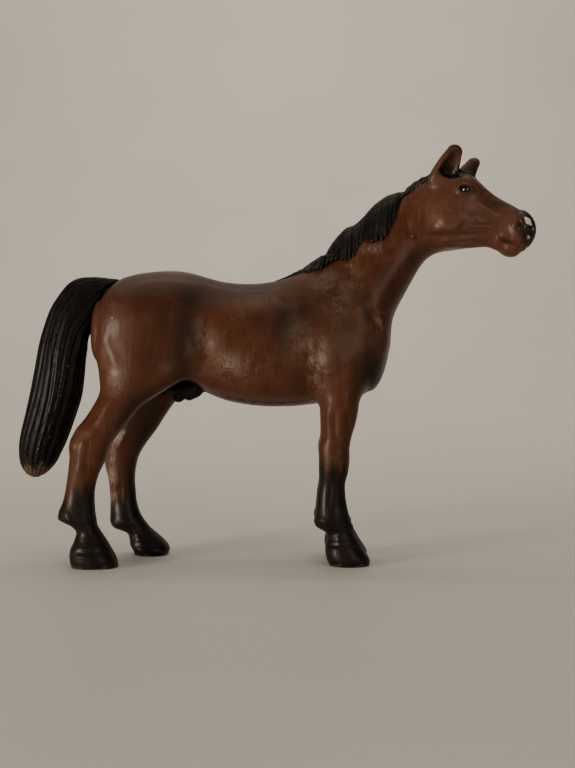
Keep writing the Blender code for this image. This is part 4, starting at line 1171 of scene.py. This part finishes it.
def paint(name, mesh):
    """Stores the masks that the materials read."""
    co = np.empty(3 * len(mesh.vertices))
    mesh.vertices.foreach_get("co", co)
    x, y, z = (co.reshape(-1, 3) / MM).T
    hx, hy, hz = in_head(x, y, z)
    if name == "left_hind_leg":
        px, py = hpx, hpy = seen(x, y, z)
    else:
        (px, py), (hpx, hpy) = body_pixels(x, y, z), head_pixels(x, y, z)
    head = between(0.0, 3.0, hx) * (z > 80)
    sheath = between(1.35, 1.0, np.hypot((x + 25.6) / 6.2, (z - 46.2) / 4.0)) * between(5.2, 3.2, np.abs(y))
    chest = spots(px, py + 0.25 * (px - 375), [CHEST_MARK]) * (x > 14) * between(68, 64, z)
    across, down = hpx - 528.2 - 0.3 * (hpy - 221), hpy - 221.0 - 0.4 * (hpx - 528)
    square = np.exp(-((across / 2.9) ** 6) - (down / 3.4) ** 6)
    # white paint on the muzzle, with a thin painted highlight on its front
    pale_and_glint = most(square, spots(hpx, hpy, PALE_AND_GLINT_MARKS)) * (hx > 20)
    specks = [(SPECK_STRENGTH, sx, sy, *[SPECK_SIZE * wide] * 2) for sx, sy, wide in LIGHT_SPECKS]
    layers = {
        "black": most(black_legs(x, y, z), sheath, chest, black_head(hx, hy, hz, hpx, hpy)),
        "dark_and_shade": most(spots(px, py, DARK_AND_SHADE_MARKS) * (1 - head), spots(hpx, hpy, HEAD_DARK_AND_SHADE_MARKS) * head),
        "worn_and_sheen": spots(px, py, WORN_AND_SHEEN_MARKS),
        "pale_and_glint": most(pale_and_glint, spots(px, py, specks)),
        "rim": rubbed_rim(name, x, y, z),
        "belly": belly_seam(px, py) * ((z < 50) & (np.abs(x) < 40)),
        # the head's lighter, rosier brown: its paint tone, with painted sheen in it
        "face": between(-2.0, 9.0, hx + 0.5 * (hz - 4)) * (z > 80) * (x > 30),
        "dull": spots(px, py, DULL_MARKS),
        "brushed": spots(px, py, BRUSHED_MARKS),
    }
    for label, values in layers.items():
        layer = mesh.attributes.new(label, "FLOAT", "POINT")
        layer.data.foreach_set("value", values.astype(np.float32))


# Materials


class Nodes:
    """Short names for building one material."""

    def __init__(self, name):
        self.material = bpy.data.materials.new(name)
        self.material.use_nodes = True
        self.tree = self.material.node_tree
        self.coord = self.tree.nodes.new("ShaderNodeTexCoord").outputs["Object"]

    def put(self, socket, value):
        """Links an input or sets it. A colour is given as three numbers."""
        if isinstance(value, bpy.types.NodeSocket):
            self.tree.links.new(value, socket)
        else:
            socket.default_value = (*value, 1) if socket.type == "RGBA" else value

    def fill(self, node, values):
        """Sets inputs by their names, with _ for each blank."""
        for label, value in values.items():
            self.put(node.inputs[label.replace("_", " ")], value)

    def node(self, kind, settings=(), **values):
        node = self.tree.nodes.new("ShaderNode" + kind)
        for key, value in dict(settings).items():
            setattr(node, key, value)
        self.fill(node, values)
        return node

    def noise(self, scale, detail, rough=0.55, twist=0.0):
        """A noise with so many waves in a metre, or with a number of waves for each axis."""
        where = self.coord
        if isinstance(scale, tuple):
            where = self.node("Mapping", Vector=where, Scale=scale).outputs[0]
            scale = 1.0
        values = {"Scale": scale, "Detail": detail, "Roughness": rough, "Distortion": twist}
        return self.node("TexNoise", Vector=where, **values).outputs["Fac"]

    def mask(self, name):
        return self.node("Attribute", {"attribute_name": name}).outputs["Fac"]

    def math(self, kind, a, b, clamp=False):
        node = self.node("Math", {"operation": kind, "use_clamp": clamp})
        self.put(node.inputs[0], a)
        self.put(node.inputs[1], b)
        return node.outputs[0]

    def add(self, a, b, share=1.0, clamp=False):
        """The first with a share of the second."""
        return self.math("ADD", a, b if share == 1 else self.times(b, share), clamp)

    def times(self, a, b, clamp=False):
        return self.math("MULTIPLY", a, b, clamp)

    def ragged(self, mask, noise, share):
        """A mask whose edge a noise makes ragged."""
        return self.add(mask, self.math("SUBTRACT", noise, 0.5), share)

    def ramp(self, value, low, high, to_low=0.0, to_high=1.0):
        """A smooth rise from one value at low to another at high."""
        ends = {"From_Min": low, "From_Max": high, "To_Min": to_low, "To_Max": to_high}
        return self.node("MapRange", {"interpolation_type": "SMOOTHSTEP"}, Value=value, **ends).outputs[0]

    def mix(self, factor, a, b):
        return self.node("Mix", {"data_type": "RGBA"}, Factor=factor, A=a, B=b).outputs["Result"]

    def lay(self, below, above, mask, share):
        """One colour over another where a mask says."""
        return self.mix(self.times(mask, share), below, above)

    def bump(self, height, distance, **normal):
        return self.node("Bump", Strength=1.0, Distance=distance, Height=height, **normal).outputs[0]

    def finish(self, **values):
        """Sets the shader's inputs and gives the material."""
        self.fill(self.tree.nodes["Principled BSDF"], values)
        return self.material


def coat_material():
    m = Nodes("painted_coat")
    large = m.noise(55, 3, 0.5, 0.6)
    blotch = m.noise(150, 5, 0.6, 0.4)
    streak = m.noise((1500, 1500, 170), 5, 0.6, 0.3)
    hair = m.noise((4200, 4200, 500), 3, 0.6, 0.2)
    grain = m.noise(2600, 4, 0.65)
    speck = m.noise(1500, 2, 0.5)
    patches = m.ramp(blotch, 0.36, 0.66)
    dark_and_shade = m.mask("dark_and_shade")
    mottle = m.ramp(m.add(blotch, streak, 0.6), 0.62, 0.92)
    shade = m.times(dark_and_shade, mottle, clamp=True)
    wear_and_sheen = m.times(m.mask("worn_and_sheen"), m.ramp(m.add(hair, blotch), 0.84, 1.12), clamp=True)
    # brown, with streaks, dark paint and painted shade, worn paint and painted highlights, a lighter head
    # partly from painted sheen, and specks
    warm = m.mix(patches, (0.052, 0.0156, 0.0068), (0.088, 0.0280, 0.0126))
    # a lighter, rosier brown for the head: its paint tone, with painted sheen in it
    rosy_tone_and_sheen = m.mix(patches, (0.078, 0.0300, 0.0180), (0.100, 0.0400, 0.0245))
    colour = m.mix(m.ramp(large, 0.38, 0.62), warm, (0.070, 0.0212, 0.0097))
    colour = m.lay(colour, rosy_tone_and_sheen, m.mask("face"), 0.90)
    colour = m.lay(colour, (0.118, 0.044, 0.0200), m.ramp(streak, 0.46, 0.74), 0.34)
    colour = m.lay(colour, (0.028, 0.0088, 0.0040), m.ramp(streak, 0.50, 0.28), 0.36)
    # dark paint mottling, and painted shade where the marks darken the top of the back, the rump, the
    # shoulder and the far hind leg
    colour = m.lay(colour, (0.0150, 0.0072, 0.0046), dark_and_shade, 0.80)
    colour = m.lay(colour, (0.0090, 0.0052, 0.0038), shade, 0.60)
    # paler worn paint, with painted highlights: pale gloss streaks and sheen where the marks lie
    colour = m.lay(colour, (0.320, 0.245, 0.188), wear_and_sheen, 0.66)
    colour = m.lay(colour, (0.22, 0.14, 0.09), m.ramp(speck, 0.745, 0.79), 0.30)
    # black, then what lies over both
    edged = m.ragged(m.ragged(m.mask("black"), streak, 0.45), blotch, 0.7)
    inked = m.ramp(edged, 0.20, 0.80)
    black = m.mix(m.ramp(blotch, 0.40, 0.66), (0.0030, 0.0025, 0.0025), (0.0066, 0.0050, 0.0045))
    colour = m.mix(inked, colour, black)
    rubbed = m.ramp(m.ragged(m.mask("rim"), blotch, 1.3), 0.48, 0.80)
    colour = m.lay(colour, (0.070, 0.028, 0.018), rubbed, 0.80)
    seam = m.ramp(m.ragged(m.mask("belly"), grain, 0.8), 0.28, 0.62)
    colour = m.lay(colour, (0.0055, 0.0034, 0.0028), seam, 0.92)
    # white paint and pale specks, with a thin painted highlight on the muzzle's front
    white = m.ramp(m.ragged(m.mask("pale_and_glint"), grain, 0.5), 0.35, 0.62)
    colour = m.lay(colour, (0.78, 0.72, 0.66), white, 0.90)
    # how rough the gloss is
    rough = m.add(m.ramp(blotch, 0.34, 0.68, 0.27, 0.40), m.ramp(grain, 0.40, 0.70), 0.10)
    rough = m.add(rough, inked, 0.11)
    rough = m.add(rough, m.mask("dull"), 0.24)
    rough = m.add(rough, m.times(m.mask("brushed"), m.ramp(streak, 0.40, 0.62)), 0.20)
    rough = m.add(rough, wear_and_sheen, 0.10, clamp=True)
    peel = m.bump(m.noise(900, 3, 0.5), 0.00006)
    brush = m.bump(m.add(streak, hair, 0.7), 0.000045, Normal=peel)
    return m.finish(
        Base_Color=colour,
        Roughness=rough,
        IOR=1.42,
        Specular_IOR_Level=0.28,
        Specular_Tint=(1.0, 0.80, 0.64),
        Coat_Weight=0.08,
        Coat_Roughness=0.18,
        Normal=m.bump(grain, 0.000018, Normal=brush),
    )


def hair_material(name, shine, strands):
    """Black hair. strands says how strongly the raised strands are painted paler, as a painted highlight.
    """
    m = Nodes(name)
    blotch = m.noise(260, 5, 0.6, 0.4)
    streak = m.noise((2600, 2600, 260), 5, 0.62, 0.3)
    grain = m.noise(3000, 4, 0.65)
    colour = m.mix(m.ramp(blotch, 0.38, 0.66), (0.0036, 0.0030, 0.0030), (0.0080, 0.0060, 0.0056))
    colour = m.lay(colour, (0.024, 0.0140, 0.0110), m.ramp(streak, 0.56, 0.76), 0.55)
    # painted highlight: paler colour on the raised strands
    strand_highlight = m.ramp(m.node("NewGeometry").outputs["Pointiness"], 0.510, 0.560)
    strand_highlight = m.times(strand_highlight, m.ramp(streak, 0.40, 0.66))
    colour = m.lay(colour, (0.070, 0.054, 0.049), strand_highlight, strands)
    rubbed = m.ramp(m.ragged(m.mask("rim"), streak, 1.6), 0.42, 0.85)
    colour = m.lay(colour, (0.130, 0.078, 0.048), rubbed, 0.75)
    speck = m.ramp(m.ragged(m.mask("pale_and_glint"), grain, 0.4), 0.35, 0.60)
    colour = m.lay(colour, (0.55, 0.50, 0.45), speck, 0.8)
    return m.finish(
        Base_Color=colour,
        Roughness=m.add(m.ramp(blotch, 0.35, 0.68, 0.32, 0.46), grain, 0.10),
        IOR=1.38,
        Specular_IOR_Level=shine,
        Specular_Tint=(0.85, 0.76, 0.72),
        Coat_Weight=0.05,
        Coat_Roughness=0.25,
        Normal=m.bump(grain, 0.00002, Normal=m.bump(streak, 0.00006)),
    )


def eye_material():
    m = Nodes("glossy_black_eye")
    colour = m.mix(m.ramp(m.noise(900, 3), 0.3, 0.7), (0.004, 0.003, 0.003), (0.014, 0.007, 0.005))
    rough = m.ramp(m.noise(2500, 3), 0.3, 0.7, 0.06, 0.12)
    return m.finish(Base_Color=colour, Roughness=rough, Coat_Weight=0.6, Coat_Roughness=0.04)


def floor_material():
    m = Nodes("pale_tabletop")
    grain = m.noise(900, 4, 0.6)
    colour = m.mix(m.ramp(m.noise(6, 3, 0.5), 0.3, 0.7), (0.680, 0.640, 0.580), (0.710, 0.668, 0.606))
    colour = m.lay(colour, (0.58, 0.54, 0.49), m.ramp(grain, 0.45, 0.75), 0.10)
    rough = m.ramp(grain, 0.3, 0.7, 0.55, 0.68)
    return m.finish(Base_Color=colour, Roughness=rough, Normal=m.bump(grain, 0.00003))


coat, eye = coat_material(), eye_material()
hair = {
    "mane": hair_material("painted_mane", shine=0.26, strands=0.85),
    "tail": hair_material("painted_tail", shine=0.15, strands=0.42),
}
for name, piece in pieces.items():
    if not name.endswith("_eye"):
        paint(name, piece.data)

for name, piece in pieces.items():
    material = eye if name.endswith("_eye") else hair.get(name, coat)
    piece.data.materials.append(material)
    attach(piece, "root")
    if not name.endswith("_eye"):
        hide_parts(name)


# Floor, light and camera

# The floor runs back and curves up into a wall: its profile from front to back, as (y, z) in metres
FLOOR_FRONT, BEND_START, BEND_RADIUS, WALL_TOP, FLOOR_SIDE = -3.0, 0.55, 0.60, 2.2, 3.0
FLOOR_THICKNESS = 0.02
BEND_STEPS = 40

bend = [math.pi / 2 * k / BEND_STEPS for k in range(BEND_STEPS + 1)]
profile = [(FLOOR_FRONT, 0.0)]
profile += [(BEND_START + BEND_RADIUS * math.sin(a), BEND_RADIUS * (1 - math.cos(a))) for a in bend]
profile += [(BEND_START + BEND_RADIUS, WALL_TOP)]
normals = [(0.0, -1.0)] + [(math.sin(a), -math.cos(a)) for a in bend] + [(1.0, 0.0)]
under = [(y + FLOOR_THICKNESS * ny, z + FLOOR_THICKNESS * nz) for (y, z), (ny, nz) in zip(profile, normals)]
ring = profile + under[::-1]
count = len(ring)
corners = [(x, y, z) for x in (-FLOOR_SIDE, FLOOR_SIDE) for y, z in ring]
floor_faces = [(k, count + k, count + (k + 1) % count, (k + 1) % count) for k in range(count)]
for k in range(len(profile) - 1):
    end = (k, k + 1, count - 2 - k, count - 1 - k)
    floor_faces += [end, tuple(count + corner for corner in reversed(end))]
floor_mesh = bpy.data.meshes.new("floor")
floor_mesh.from_pydata(corners, [], floor_faces)
floor_mesh.shade_smooth()
floor_mesh.set_sharp_from_angle(angle=math.radians(30))
floor = placed("floor", floor_mesh)
floor.data.materials.append(floor_material())

world = bpy.data.worlds.new("studio")
bpy.context.scene.world = world
world.use_nodes = True
background = world.node_tree.nodes["Background"]
background.inputs["Color"].default_value = (0.105, 0.098, 0.088, 1)
background.inputs["Strength"].default_value = 1.0


def area(name, place, target, size, power, colour):
    """A round lamp that points at a target."""
    light = bpy.data.lights.new(name, "AREA")
    light.shape = "DISK"
    light.size = size
    light.energy = power
    light.color = colour
    lamp = placed(name, light)
    lamp.location = place
    lamp.rotation_euler = (Vector(target) - Vector(place)).to_track_quat("-Z", "Y").to_euler()


area("key", (-0.60, -0.51, 0.09), (0.0, 0.0, 0.06), 0.26, 5.2, (1.0, 0.93, 0.83))
area("side", (0.36, -0.66, 0.24), (0.0, 0.0, 0.05), 0.40, 1.0, (1.0, 0.95, 0.88))
area("top", (0.0, 0.15, 1.50), (0.0, 0.15, 0.0), 2.20, 8.4, (1.0, 0.925, 0.815))
area("wall", (0.0, 0.25, 0.95), (0.0, 1.15, 0.60), 0.60, 4.9, (1.0, 0.925, 0.815))

camera_data = bpy.data.cameras.new("camera")
camera_data.sensor_width = 36
camera_data.lens = 36 * LENS_PX / IMAGE_HEIGHT
camera_data.clip_start = 0.01
camera = placed("camera", camera_data)
camera.location = Vector((CAMERA_X, CAMERA_Y, CAMERA_Z)) * MM
camera.rotation_euler = (math.pi / 2, 0, 0)
bpy.context.scene.camera = camera
